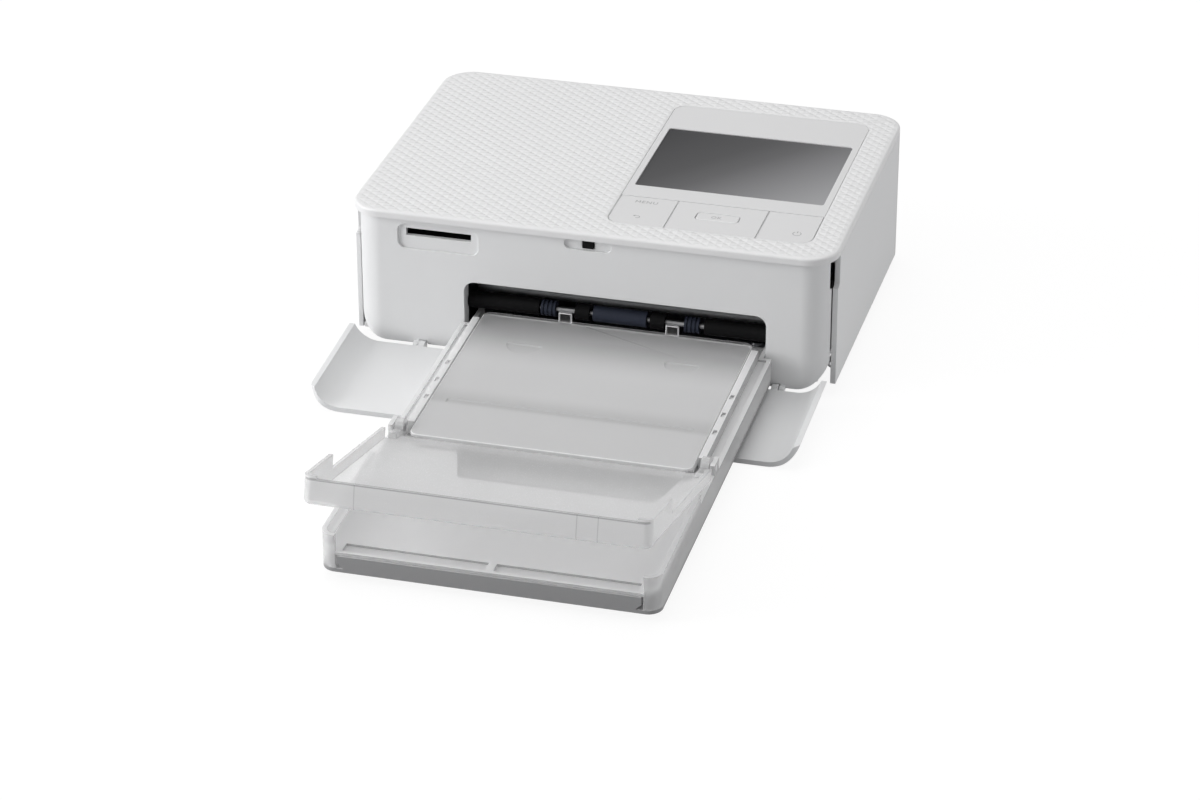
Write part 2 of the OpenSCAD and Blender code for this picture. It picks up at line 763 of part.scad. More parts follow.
module front_cover() {
    low = cover_axis_z + knuckle_r + 0.2;
    high = wall_top - seam;
    color("gainsboro") in_cover() {
        difference() {
            // curved channel: the front plate and both wings in plan
            translate([0, 0, low]) linear_extrude(high - low) intersection() {
                difference() {
                    body_plan(0);
                    body_plan(wall);
                }
                translate([-side_x, front_y]) square([body_w, wing_h]);
            }
            // free corners, seen from the front
            slab_y(fy(-cut), fy(wing_h + cut)) corner_waste(high, cover_corner, 1);
        }
        // hinge knuckles
        for (x = [knuckle_left, knuckle_right]) difference() {
            union() {
                bar_x([cover_axis_y, cover_axis_z], x - knuckle_w / 2, x + knuckle_w / 2,
                    knuckle_r);
                block(x - knuckle_w / 2, x + knuckle_w / 2, front_y, fy(wall), cover_axis_z,
                    low + 1);
            }
            bar_x([cover_axis_y, cover_axis_z], x - knuckle_w, x + knuckle_w, cover_pin_r);
        }
    }
}

module cover_pins() {
    color("silver") for (x = [knuckle_left, knuckle_right]) {
        s = x < 0 ? -1 : 1;
        inner = x - s * knuckle_w / 2;
        outer = x + s * (lug_step() + 1);
        bar_x([cover_axis_y, cover_axis_z], min(inner, outer), max(inner, outer), cover_pin_r);
    }
}

module cover_catch() {
    z0 = wall_top - latch_h / 2 - 2;
    color("black") {
        block(-2, 2, fy(lip + 0.4), fy(lip + wall + 2), z0, z0 + 2.8);
        block(-5, 5, fy(lip + wall + card_dip), fy(lip + wall + card_dip + 1.5), z0 - 3,
            z0 + 4);
    }
}

// Control panel

module control_panel() {
    color("whitesmoke") difference() {
        translate([0, 0, body_h - panel_t]) linear_extrude(panel_t) panel_plan(0);
        // key row
        block(panel_x - cut, panel_x + panel_w + cut, fy(panel_y - cut), fy(key_back),
            body_h - panel_t - cut, body_h + cut);
        display_well(panel_t + cut, 0);
    }
}

// Well of the display window, sunk from above the panel by the given depth
module display_well(depth, margin) {
    translate([panel_x + lcd_in + lcd_w / 2, fy(panel_y + lcd_front + lcd_d / 2), body_h - depth])
        rounded_box(lcd_w - 2 * margin, lcd_d - 2 * margin, depth + cut, 1);
}

module display_window() {
    glass_t = 1;
    color("dimgray") intersection() {
        display_well(lcd_dip + glass_t, 0.05);
        block(-side_x, side_x, front_y, -front_y, 0, body_h - lcd_dip);
    }
}

module display_module() {
    bezel = 1.2;
    top = body_h - lcd_dip - 1;
    color("silver") {
        translate([0, 0, -(lcd_dip + 1.02)]) intersection() {
            display_well(2, bezel);
            block(-side_x, side_x, front_y, -front_y, 0, body_h);
        }
        block(panel_x + 1, panel_x + panel_w - 1, fy(panel_y + lcd_front - 2),
            fy(panel_y + lcd_front + lcd_d + 3), top - 5.2, wall_top - 0.2);
    }
}

// Plan of a key between x0 and x1, cut from the panel's own outline
module key_plan(x0, x1) {
    intersection() {
        panel_plan(key_gap);
        translate([x0 + key_gap, fy(panel_y)])
            square([x1 - x0 - 2 * key_gap, key_row - key_gap]);
    }
}

key_z = body_h - 0.1;
dome_h = 0.8;
key_board_z = body_h - 6.4;

// Key cap of the given plan with a stem over its dome switch
module key_cap(stem_x, stem_y) {
    stem_z = key_board_z + 1.6 + dome_h + key_travel + 0.05;
    translate([0, 0, key_z - 1.2]) linear_extrude(1.2) children();
    translate([stem_x, stem_y, stem_z]) cylinder(h = key_z - 1 - stem_z, r = 1.6);
}

// Stem places of the left key, the pad and the power key
left_stem = [panel_x + key_left_w / 2, fy(panel_y + key_row / 2)];
pad_stems = [[(key_x1 + key_x2) / 2 - 12, fy(panel_y + key_row / 2)],
    [(key_x1 + key_x2) / 2 + 12, fy(panel_y + key_row / 2)]];
power_stem = [(key_x2 + panel_x + panel_w) / 2, fy(panel_y + key_row / 2)];
ok_centre = [(key_x1 + key_x2) / 2, fy(panel_y + 13.5)];
board_over = 4.4;
key_board_bosses = [for (x = [panel_x - 2.4, panel_x + panel_w + 2.4], d = [5, key_row - 4])
    [x, fy(panel_y + d)]];

module left_key() {
    color("whitesmoke") key_cap(left_stem[0], left_stem[1]) key_plan(panel_x, key_x1);
}

module power_key() {
    color("whitesmoke") key_cap(power_stem[0], power_stem[1])
        key_plan(key_x2, panel_x + panel_w);
}

module four_way_pad() {
    color("whitesmoke") difference() {
        union() {
            key_cap(pad_stems[0][0], pad_stems[0][1]) key_plan(key_x1, key_x2);
            key_cap(pad_stems[1][0], pad_stems[1][1]) key_plan(key_x1, key_x2);
        }
        translate([ok_centre[0], ok_centre[1], key_z - 3])
            rounded_box(ok_w + 2 * key_gap, ok_d + 2 * key_gap, 4, 1.5 + key_gap);
    }
}

module ok_button() {
    stem_z = key_board_z + 1.6 + dome_h + key_travel + 0.05;
    color("white") translate([ok_centre[0], ok_centre[1], 0]) {
        translate([0, 0, key_z - 1.8]) rolled_slab(ok_w, ok_d, 1.85, 1.5, 0.5);
        translate([0, 0, stem_z]) cylinder(h = key_z - 1.5 - stem_z, r = 1.6);
    }
}

module key_board() {
    stems = [left_stem, pad_stems[0], pad_stems[1], power_stem, ok_centre];
    color("seagreen") {
        block(panel_x - board_over, panel_x + panel_w + board_over, fy(panel_y + 2.4),
            fy(key_back - 1), key_board_z, key_board_z + 1.6);
        for (s = stems) translate([s[0], s[1], key_board_z + 1.6])
            cylinder(h = dome_h, r1 = 2.6, r2 = 1.6);
    }
}

// Print engine

chassis_z = base_z + 2.1;
chassis_y0 = 19;
chassis_y1 = 96;
chassis_top = path_z + 23.6;
chassis_feet = [[plate_left + 12, 24], [plate_right - 12, 24], [plate_left + 12, 90],
    [plate_right - 12, 90]];
bush_r = journal_r + 1.5;

module side_plate(x0) {
    difference() {
        slab_x(x0, x0 + plate_t) polygon([[fy(pick_y - 4), path_z - 12], [fy(chassis_y0), chassis_z],
            [fy(chassis_y1), chassis_z], [fy(chassis_y1), chassis_top - 8],
            [fy(chassis_y1 - 8), chassis_top], [fy(chassis_y0 + 18.5), chassis_top],
            [fy(chassis_y0), path_z + 8], [fy(pick_y - 4), path_z + 3]]);
        for (a = [feed_axis, pinch_axis, platen_axis]) bar_x(a, x0 - cut, x0 + plate_t + cut, bush_r);
        bar_x(pick_axis, x0 - cut, x0 + plate_t + cut, pick_shaft_r + 1.5);
    }
}

module chassis() {
    bridge_y = platen_y - 6;
    color("silver") {
        difference() {
            side_plate(plate_left - plate_t);
            for (a = [take_axis]) bar_x(a, plate_left - plate_t - cut, plate_left + cut, 3.2);
        }
        difference() {
            side_plate(plate_right);
            ink_bay(plate_right - cut, plate_right + plate_t + cut, 0.6);
        }
        difference() {
            block(plate_left, plate_right, fy(chassis_y0), fy(chassis_y1), chassis_z,
                chassis_z + plate_t);
            for (p = chassis_feet) translate([p[0], fy(p[1]), chassis_z - cut])
                cylinder(h = plate_t + 2 * cut, r = 1.6);
            block(lane_x - engine_w / 4, lane_x + engine_w / 4, fy(platen_y + 10),
                fy(platen_y + 26), chassis_z - cut, chassis_z + plate_t + cut);
        }
        // stub that carries the supply spool
        bar_x(supply_axis, plate_left - 0.2, spool_x0 + 3.6, takeup_hub_r);
        // bridge that backs the head springs
        block(plate_left, plate_right, fy(bridge_y), fy(bridge_y + 12), chassis_top - plate_t,
            chassis_top);
    }
}

// Side view of the ink cartridge, grown by a margin
module ink_outline(margin) {
    for (a = [take_axis, supply_axis]) translate([fy(a[0]), a[1]]) circle(tube_r + margin);
    translate([fy(take_axis[0]), spool_z - margin])
        square([supply_axis[0] - take_axis[0], tube_r + 2 * margin - 1]);
}

module ink_bay(x0, x1, margin) {
    slab_x(x0, x1) ink_outline(margin);
}

// Black surround behind the jambs: side cheeks, a roof and covers round the shaft
module bay_liner() {
    t = 1.4;
    inset = 0.2;
    y0 = fy(lip + jamb_d + seam);
    y1 = fy(chassis_y0 - 0.4);
    roof_z = open_top + 0.8;
    left = open_x - open_w / 2 + inset;
    right = open_x + open_w / 2 - inset;
    cover_in = 30.6;
    color("black") difference() {
        union() {
            block(left - t, left, y0, y1, base_z + seam, roof_z + t);
            block(right, right + t, y0, y1, base_z + seam, roof_z + t);
            block(left - t, right + t, y0, y1, roof_z, roof_z + t);
            bar_x(pick_axis, left - 0.05, lane_x - cover_in, collar_r);
            bar_x(pick_axis, lane_x + cover_in + 1.3, right + 0.05, collar_r);
        }
        bar_x(pick_axis, left - 2 * t, right + 2 * t, pick_shaft_r + 0.3);
    }
}

module pickup_shaft() {
    color("silver") bar_x(pick_axis, gear_x - gear_w - 1, plate_right + plate_t + 1.4,
        pick_shaft_r);
}

module pickup_rollers() {
    groove = 0.4;
    color("midnightblue") {
        difference() {
            bar_x(pick_axis, lane_x - pick_mid_w / 2, lane_x + pick_mid_w / 2, pick_r);
            bar_x(pick_axis, lane_x - pick_mid_w, lane_x + pick_mid_w, pick_shaft_r);
        }
        for (s = [-1, 1]) difference() {
            bar_x(pick_axis, lane_x + s * pick_side_x - pick_side_w / 2,
                lane_x + s * pick_side_x + pick_side_w / 2, pick_r);
            for (g = [-1 : 1]) difference() {
                bar_x(pick_axis, lane_x + s * pick_side_x + g * 1.6 - 0.3,
                    lane_x + s * pick_side_x + g * 1.6 + 0.3, pick_r + cut);
                bar_x(pick_axis, lane_x + s * pick_side_x - pick_side_w,
                    lane_x + s * pick_side_x + pick_side_w, pick_r - groove);
            }
            bar_x(pick_axis, lane_x + s * pick_side_x - pick_side_w,
                lane_x + s * pick_side_x + pick_side_w, pick_shaft_r);
        }
    }
}

module shaft_collars() {
    color("black") for (s = [-1, 1]) difference() {
        bar_x(pick_axis, lane_x + s * collar_x - collar_w / 2,
            lane_x + s * collar_x + collar_w / 2, collar_r);
        bar_x(pick_axis, lane_x + s * collar_x - collar_w, lane_x + s * collar_x + collar_w,
            pick_shaft_r);
    }
}

module feed_roller() {
    color("lightsteelblue") {
        bar_x(feed_axis, plate_left + 0.6, plate_right - 0.6, feed_r);
        bar_x(feed_axis, gear_x - 2 * layer_w - gear_w, plate_right + plate_t + 1.4, journal_r);
    }
}

module pinch_roller() {
    color("gray") {
        bar_x(pinch_axis, plate_left + 4, plate_right - 4, pinch_r);
        bar_x(pinch_axis, plate_left - plate_t - 1.2, plate_right + plate_t + 1.2, journal_r);
    }
}

module platen_roller() {
    color("dimgray") {
        bar_x(platen_axis, plate_left + 3, plate_right - 3, platen_r);
        bar_x(platen_axis, plate_left - plate_t - 1.2, plate_right + plate_t + 1.2, journal_r);
    }
}

module bushes() {
    color("ivory") for (x = [plate_left - plate_t, plate_right]) {
        for (a = [feed_axis, pinch_axis, platen_axis]) difference() {
            bar_x(a, x, x + plate_t, bush_r);
            bar_x(a, x - cut, x + plate_t + cut, journal_r + fit);
        }
        difference() {
            bar_x(pick_axis, x, x + plate_t, pick_shaft_r + 1.5);
            bar_x(pick_axis, x - cut, x + plate_t + cut, pick_shaft_r + fit);
        }
    }
}

head_w = engine_w - 10;
head_z = path_z + 0.35;

module thermal_head() {
    fin_pitch = 6;
    y0 = fy(platen_y - 5);
    y1 = fy(platen_y + 5);
    color("silver") {
        block(lane_x - head_w / 2, lane_x + head_w / 2, y0, y1, head_z, head_z + 2);
        block(lane_x - head_w / 2, lane_x + head_w / 2, y0, y1, head_z + 2, head_z + 5);
        for (i = [0 : floor((head_w - 8) / fin_pitch)]) block(lane_x - head_w / 2 + 3 + i * fin_pitch,
            lane_x - head_w / 2 + 5 + i * fin_pitch, y0 + 1, y1 - 1, head_z + 5, head_z + 9);
    }
}

module head_bracket() {
    top = chassis_top - 7;
    y0 = fy(platen_y - 5.6);
    y1 = fy(platen_y + 5.6);
    color("darkgray") {
        block(lane_x - head_w / 2, lane_x + head_w / 2, y0, y1, top - 1.2, top);
        // arms that hold the heat sink from both ends
        for (s = [-1, 1]) block(lane_x + s * (head_w / 2 + 0.6) - 0.6,
            lane_x + s * (head_w / 2 + 0.6) + 0.6, y0, y1, head_z, top);
    }
}

spring_x = [-40, 40];

module head_springs() {
    color("gray") for (x = spring_x) translate([lane_x + x, fy(platen_y), chassis_top - 7])
        difference() {
            cylinder(h = 6, r = 2.6);
            translate([0, 0, -cut]) cylinder(h = 6 + 2 * cut, r = 2);
        }
}

// Gear train. Turns are chosen so that each gap faces the tooth it meets.

module feed_gear() {
    color("white") gear(feed_axis, feed_teeth, gear_x - 2 * layer_w, 2 * layer_w, journal_r);
}

module pickup_gear() {
    color("white") gear(pick_axis, pick_teeth, gear_x - gear_w, gear_w, pick_shaft_r,
        meshed(feed_axis, pick_axis, feed_teeth, pick_teeth, 0));
}

takeup_hub_r = 2.4;

module takeup_gear() {
    x0 = gear_x - 2 * layer_w + 0.3;
    color("white") {
        gear(take_axis, take_teeth, x0, gear_w, 1.2,
            meshed(feed_axis, take_axis, feed_teeth, take_teeth, 0));
        difference() {
            bar_x(take_axis, x0 + gear_w, spool_x0 + 3.6, takeup_hub_r);
            bar_x(take_axis, x0, spool_x0 + 1, 1.2);
        }
    }
}

module idler_gear() {
    color("white") gear(idler_axis, idler_teeth, gear_x - gear_w, gear_w, 1.5 + fit,
        meshed(feed_axis, idler_axis, feed_teeth, idler_teeth, 0));
}

module idler_post() {
    color("silver") {
        bar_x(idler_axis, gear_x - gear_w - 1, plate_left - plate_t, 1.5);
        bar_x(idler_axis, gear_x + 0.3, plate_left - plate_t, 3);
        bar_x(idler_axis, gear_x - gear_w - 1, gear_x - gear_w - 0.3, 2.6);
    }
}

motor_x = gear_x - gear_w - 4;
shaft_r = 1;

module motor_pinion() {
    idler_turn = meshed(feed_axis, idler_axis, feed_teeth, idler_teeth, 0);
    color("goldenrod") difference() {
        gear(pinion_axis, pinion_teeth, gear_x - gear_w, gear_w, 0,
            meshed(idler_axis, pinion_axis, idler_teeth, pinion_teeth, idler_turn));
        bar_x(pinion_axis, gear_x - gear_w - cut, gear_x + cut, shaft_r);
    }
    color("silver") bar_x(pinion_axis, motor_x - 4, gear_x + 0.4, shaft_r);
}

module motor() {
    motor_r = 10.5;
    color("slategray") difference() {
        union() {
            bar_x(pinion_axis, motor_x - 22, motor_x, motor_r);
            bar_x(pinion_axis, motor_x - 0.2, motor_x + plate_t, 3.2);
        }
        bar_x(pinion_axis, motor_x - 4.5, motor_x + 2 * plate_t, shaft_r + fit);
    }
}

module motor_bracket() {
    y0 = pinion_axis[0] - 14;
    y1 = pinion_axis[0] + 14;
    color("silver") {
        difference() {
            slab_x(motor_x, motor_x + plate_t) translate([fy((y0 + y1) / 2), pinion_axis[1]])
                rounded_rect(y1 - y0, 26, 3);
            bar_x(pinion_axis, motor_x - cut, motor_x + plate_t + cut, 4);
        }
        // stand-offs to the chassis plate, clear of the idler
        for (p = [[y1 - 3.5, -9], [y1 - 3.5, 9]])
            bar_x([p[0], pinion_axis[1] + p[1]], motor_x + plate_t, plate_left - plate_t, 2);
    }
}

// Ink cartridge

ink_left = plate_left + 4;
spool_x0 = ink_left + ink_wall + 0.4;
ink_right = plate_right + plate_t + ink_out;

module ink_shell() {
    color("dimgray") {
        for (a = [take_axis, supply_axis]) difference() {
            bar_x(a, ink_left, plate_right - 1, tube_r);
            bar_x(a, ink_left + ink_wall, plate_right, tube_r - ink_wall);
            bar_x(a, ink_left - cut, ink_left + 2 * ink_wall, 3);
            // slot where the ribbon leaves the tube
            block(ink_left + 4, plate_right - 5, fy(min(a[0], platen_y - 12.5)),
                fy(max(a[0], platen_y + 12.5)), 0, spool_z - 4);
        }
        // grip end outside the right side plate
        difference() {
            slab_x(plate_right - 1, ink_right) ink_outline(0);
            slab_x(plate_right - 1 + 2 * ink_wall, ink_right + cut)
                for (a = [take_axis, supply_axis]) translate([fy(a[0]), a[1]])
                    circle(tube_r - 2 * ink_wall);
        }
    }
}

module spool(a, roll_r, x0) {
    difference() {
        union() {
            bar_x(a, x0, plate_right - 1.3, 3.4);
            bar_x(a, ink_left + 6, plate_right - 7, roll_r);
        }
        bar_x(a, x0 - cut, x0 + 4, takeup_hub_r + 0.02);
    }
}

supply_roll = 7.4;
takeup_roll = 5.4;

module supply_spool() {
    color("black") spool(supply_axis, supply_roll, spool_x0);
}

module takeup_spool() {
    color("black") spool(take_axis, takeup_roll, spool_x0);
}

// Ink ribbon from the supply roll under the head to the take-up roll
module ribbon() {
    t = 0.15;
    z = path_z + 0.1;
    y0 = take_axis[0] + 2;
    y1 = supply_axis[0] - 2;
    z0 = spool_z - takeup_roll - 0.4;
    z1 = spool_z - supply_roll - 0.4;
    color("indigo") slab_x(ink_left + 8, plate_right - 9) polygon([
        [fy(y0), z0], [fy(platen_y - 5), z], [fy(platen_y + 5), z], [fy(y1), z1],
        [fy(y1), z1 + 2 * t], [fy(platen_y + 5), z + t], [fy(platen_y - 5), z + t],
        [fy(y0), z0 + 2 * t]]);
}

lever_axis = [supply_axis[0] + tube_r + 4, path_z + 4.6];

module eject_lever() {
    x0 = plate_right + plate_t + 0.4;
    color("lightgray") difference() {
        union() {
            bar_x(lever_axis, x0, x0 + 3, 2.6);
            block(x0, x0 + 3, fy(lever_axis[0] - 1.4), fy(lever_axis[0] + 1.4),
                lever_axis[1], lever_axis[1] + 12);
            block(x0, x0 + 8, fy(lever_axis[0] - 1.4), fy(lever_axis[0] + 1.4),
                lever_axis[1] + 10, lever_axis[1] + 12);
        }
        bar_x(lever_axis, x0 - cut, x0 + 3 + cut, 1 + fit);
    }
}

module lever_pin() {
    x0 = plate_right + plate_t;
    color("silver") {
        bar_x(lever_axis, x0, x0 + 3.7, 1);
        bar_x(lever_axis, x0 + 3.7, x0 + 4.3, 1.8);
    }
}

// Electronics

board_z = base_z + 1.7;
board_left = pan_left + 9;
board_right = plate_left - 13;
board_rear = body_d - 7;
board_feet = [[board_left + 4, 20], [board_left + 4, board_rear - 6], [board_right - 3, 20],
    [board_right + 5, board_rear - 6]];

module main_board() {
    color("seagreen") {
        block(board_left, board_right, fy(14), fy(board_rear), board_z, board_z + 1.6);
        block(board_right, board_right + 10, fy(board_rear - 18), fy(board_rear), board_z,
            board_z + 1.6);
        block(board_left + 2, board_left + 14, fy(90), fy(104), board_z + 1.6, board_z + 3);
        block(board_left + 3, board_left + 13, fy(34), fy(50), board_z + 1.6, board_z + 2.8);
    }
}

module power_inlet() {
    z0 = board_z + 1.6;
    y1 = body_d - wall - 0.1;
    color("black") difference() {
        block(power_x - 5, power_x + 5, fy(y1 - 13), fy(y1), z0, power_z + 5);
        translate([power_x, fy(y1 - 10), power_z]) rotate([-90, 0, 0])
            cylinder(h = 10 + cut, r = 2.9);
    }
}

module usb_port() {
    z0 = board_z + 1.6;
    y1 = body_d - wall - 0.1;
    color("silver") difference() {
        block(usb_x - 5, usb_x + 5, fy(y1 - 8), fy(y1), z0, usb_z + 2.4);
        translate([usb_x, fy(y1 - 6), usb_z]) rotate([-90, 0, 0])
            linear_extrude(6 + cut) rounded_rect(8.6, 2.8, 1.3);
    }
}

module card_reader() {
    reader_w = card_w + 4;
    reader_h = 6;
    reader_d = 25;
    d0 = lip + wall + card_dip + seam;
    color("dimgray") difference() {
        block(card_x - reader_w / 2, card_x + reader_w / 2, fy(d0), fy(d0 + reader_d),
            card_z - reader_h / 2, card_z + reader_h / 2);
        block(card_x - card_w / 2, card_x + card_w / 2, fy(d0 - cut), fy(d0 + reader_d - 2),
            card_z - card_h / 2, card_z + card_h / 2);
    }
}

module screws() {
    color("silver") for (p = chassis_feet) translate([p[0], fy(p[1]), 0]) {
        translate([0, 0, foot_h + 1.4]) cylinder(h = chassis_z + plate_t - foot_h - 1.4, r = 1.15);
        translate([0, 0, chassis_z + plate_t]) cylinder(h = 1.4, r = 2.4);
    }
}

// Paper cassette, in its own frame: u across, v from its front edge, w up from its underside

module in_cassette() {
    translate([lane_x, fy(-cassette_reach), cassette_z]) rotate([cassette_tilt, 0, 0])
        children();
}

// Height of the cassette's underside at the printer's opening
function nose_floor() = base_z + nose_lift;

// Plan of the cassette: rounded front corners, square shoulders and a narrower nose
module cassette_plan(margin) {
    w = cassette_w - 2 * margin;
    r = cassette_r - margin;
    shoulder = cassette_reach + lip - 1.2 - margin;
    translate([0, margin]) {
        translate([-w / 2, r]) square([w, shoulder - r - margin]);
        translate([-w / 2 + r, 0]) square([w - 2 * r, shoulder - margin]);
        for (s = [-1, 1]) translate([s * (w / 2 - r), r]) circle(r);
    }
    translate([-nose_w / 2 + margin, cassette_l / 2])
        square([nose_w - 2 * margin, cassette_l / 2 - margin]);
}

module slab_w(z0, z1) {
    translate([0, 0, z0]) linear_extrude(z1 - z0) children();
}

module lower_tray() {
    chamfer = 2;
    half = strip_w / 2;
    color("gray") in_cassette() {
        // floor with its low rim, seen as the dark line round the foot of the cassette
        difference() {
            slab_w(0, rim_h) cassette_plan(0);
            slab_w(tray_t, rim_h + cut) cassette_plan(cassette_wall);
        }
        // front strip, its ends cut back towards the foot
        slab_y(0, cassette_wall) polygon([[-half + chamfer, 0], [half - chamfer, 0],
            [half - chamfer, rim_h], [half, rim_h + chamfer], [half, strip_h], [-half, strip_h],
            [-half, rim_h + chamfer], [-half + chamfer, rim_h]]);
    }
}

module cassette_body() {
    notch_low = 10.4;
    notch_v = lid_hinge_v - 23;
    hinge_half = 3.4;
    ledge_v = lid_hinge_v + hinge_half;
    rail_in = inner_w / 2 + 0.4;
    rail_t = 2.6;
    rail_top = inner_top + 0.3;
    rail_l = mouth_v - 2 - ledge_v;
    channel_w = cassette_w / 2 - rail_in - 0.2;
    slot_in = 2;
    slot_d = 4.6;
    color("lightgray") in_cassette() difference() {
        union() {
            // side walls and front corner walls
            difference() {
                slab_w(rim_h + 0.02, cassette_h) cassette_plan(0);
                slab_w(rim_h - cut, cassette_h + cut) cassette_plan(cassette_wall);
                // front wall is open between the corners
                translate([-strip_w / 2 - 0.6, -cut, 0]) cube([strip_w + 1.2,
                    cassette_wall + 2 * cut, cassette_h + cut]);
                // notches that clear the tilted lid
                for (s = [-1, 1]) translate([s * cassette_w / 2 - 5, notch_v, notch_low])
                    cube([10, lid_hinge_v - hinge_half - notch_v, cassette_h]);
                // ledge behind the hinge that clears the closing lid
                for (s = [-1, 1]) translate([s * cassette_w / 2 - 5, ledge_v, ledge_h])
                    cube([10, mouth_v, cassette_h]);
                // nose is open at its rear end above the paper
                translate([-nose_w / 2 + cassette_wall, cassette_l - 2 * cassette_wall, 6])
                    cube([nose_w - 2 * cassette_wall, 3 * cassette_wall, cassette_h]);
                slab_w(nose_top(), cassette_h + cut) translate([-cassette_w / 2, mouth_v - 1.4])
                    square([cassette_w, cassette_in + 5]);
            }
            // output deck with its front ledge
            slab_w(deck_z, deck_z + deck_t) intersection() {
                cassette_plan(0.4);
                translate([-cassette_w / 2, 0.4]) square([cassette_w, lid_hinge_v + 2]);
            }
            // rails beside the inner cover, with a channel outside each
            for (s = [-1, 1]) {
                translate([s * (rail_in + rail_t / 2) - rail_t / 2, ledge_v, ledge_h - 2])
                    cube([rail_t, rail_l, rail_top - ledge_h + 2]);
                translate([s * (rail_in + channel_w / 2) - channel_w / 2, ledge_v, ledge_h - 2])
                    cube([channel_w, rail_l, deck_t]);
            }
        }
        // catch notches along the rails
        for (s = [-1, 1], v = [100, 113, 126]) translate([s * (rail_in + rail_t / 2) - 0.7, v,
            rail_top - 0.9]) cube([1.4, 3, 2]);
        // slot behind the front ledge, broken by a rib in the middle
        for (s = [-1, 1]) translate([s * strip_w / 4 - strip_w / 4 + 1.4, slot_in, deck_z - cut])
            cube([strip_w / 2 - 2.8, slot_d, deck_t + 2 * cut]);
        // tapered window over the grey tray
        slab_w(deck_z - cut, deck_z + deck_t + cut)
            polygon(concat([[42.3, 58], [47.7, 78], [-34, 78]],
                [for (a = [197 : 18.25 : 270]) [2 * cos(a) - 26.5, 2 * sin(a) + 60]]));
        // bores of the lid's pins
        translate([-cassette_w, lid_hinge_v, lid_hinge_h]) rotate([0, 90, 0])
            cylinder(h = 2 * cassette_w, r = lid_pin_r + fit);
    }
}

// Top of the nose's side walls, under the pick-up shaft
function nose_top() = 11.4;

lift_v = 95;

module lift_plate() {
    plate_w = inner_w - 1.6;
    color("darkgray") in_cassette() {
        translate([-plate_w / 2, lift_v, tray_t + 0.1])
            cube([plate_w, cassette_l - 5 - lift_v, 1]);
    }
}

module inner_cover() {
    v0 = cover_front_v;
    v1 = mouth_v + inner_reach;
    r = 3;
    skirt = 3;
    color("silver") in_cassette() {
        difference() {
            union() {
                translate([0, (v0 + v1) / 2, inner_top - inner_t])
                    rounded_box(inner_w, v1 - v0, inner_t, r);
                // upright rear tabs with a filleted root
                for (s = [-1, 1]) rear_tab(s * tab_x, v1);
                // turned-down front edge and side skirts, short of the opening
                translate([-inner_w / 2 + r, v0, inner_top - 4])
                    cube([inner_w - 2 * r, inner_t, 4 - inner_t / 2]);
                for (s = [-1, 1]) translate([s * (inner_w / 2 - inner_t / 2) - inner_t / 2, v0 + r,
                    inner_top - skirt]) cube([inner_t, mouth_v - 6 - v0, skirt - inner_t / 2]);
            }
            // finger marks pressed into the panel
            for (s = [-1, 1]) translate([s * 29.5, mouth_v - 18, inner_top - 0.4])
                intersection() {
                    cylinder(h = cut, r = 6.4);
                    translate([-10, -10, 0]) cube([20, 10, cut]);
                }
            // shallow groove across the panel
            translate([-inner_w / 2 + 6, 100, inner_top - 0.35]) cube([inner_w - 12, 2.4, cut]);
        }
    }
}

// Upright tab at the inner cover's rear edge v
module rear_tab(u, v) {
    t = 1.3;
    root = 1.2;
    back = 0.9;
    translate([u - tab_w / 2, v + back, inner_top]) rotate([90, 0, 90]) linear_extrude(tab_w)
        difference() {
            union() {
                translate([-t, -inner_t]) square([t, inner_t + tab_h]);
                translate([-t - root, -0.1]) square([root + 0.1, root + 0.1]);
            }
            translate([-t - root, root]) circle(root);
        }
}

// Front edge of the inner cover, clear of the lid's floor as that turns
cover_front_v = lid_hinge_v - 4.7;
lid_floor_in = 5.2;

// Outer lid, drawn level with its hinge at the origin and turned up to its open tilt

module in_lid() {
    in_cassette() translate([0, lid_hinge_v, lid_hinge_h]) rotate([-lid_tilt, 0, 0])
        children();
}

ear_w = 3;
lid_narrow = 10;

// Outer form of the lid up to height h: rounded corners and a rolled lower edge
module lid_form(h) {
    far = lid_l + 4 * lid_r;
    intersection() {
        translate([0, far / 2 - lid_l, h - lid_drop]) mirror([0, 0, 1])
            rolled_slab(lid_w, far, h, lid_r, lid_edge);
        translate([-lid_w, -lid_l - cut, -lid_drop - cut])
            cube([2 * lid_w, lid_l - lid_narrow + cut, h + 2 * cut]);
    }
}

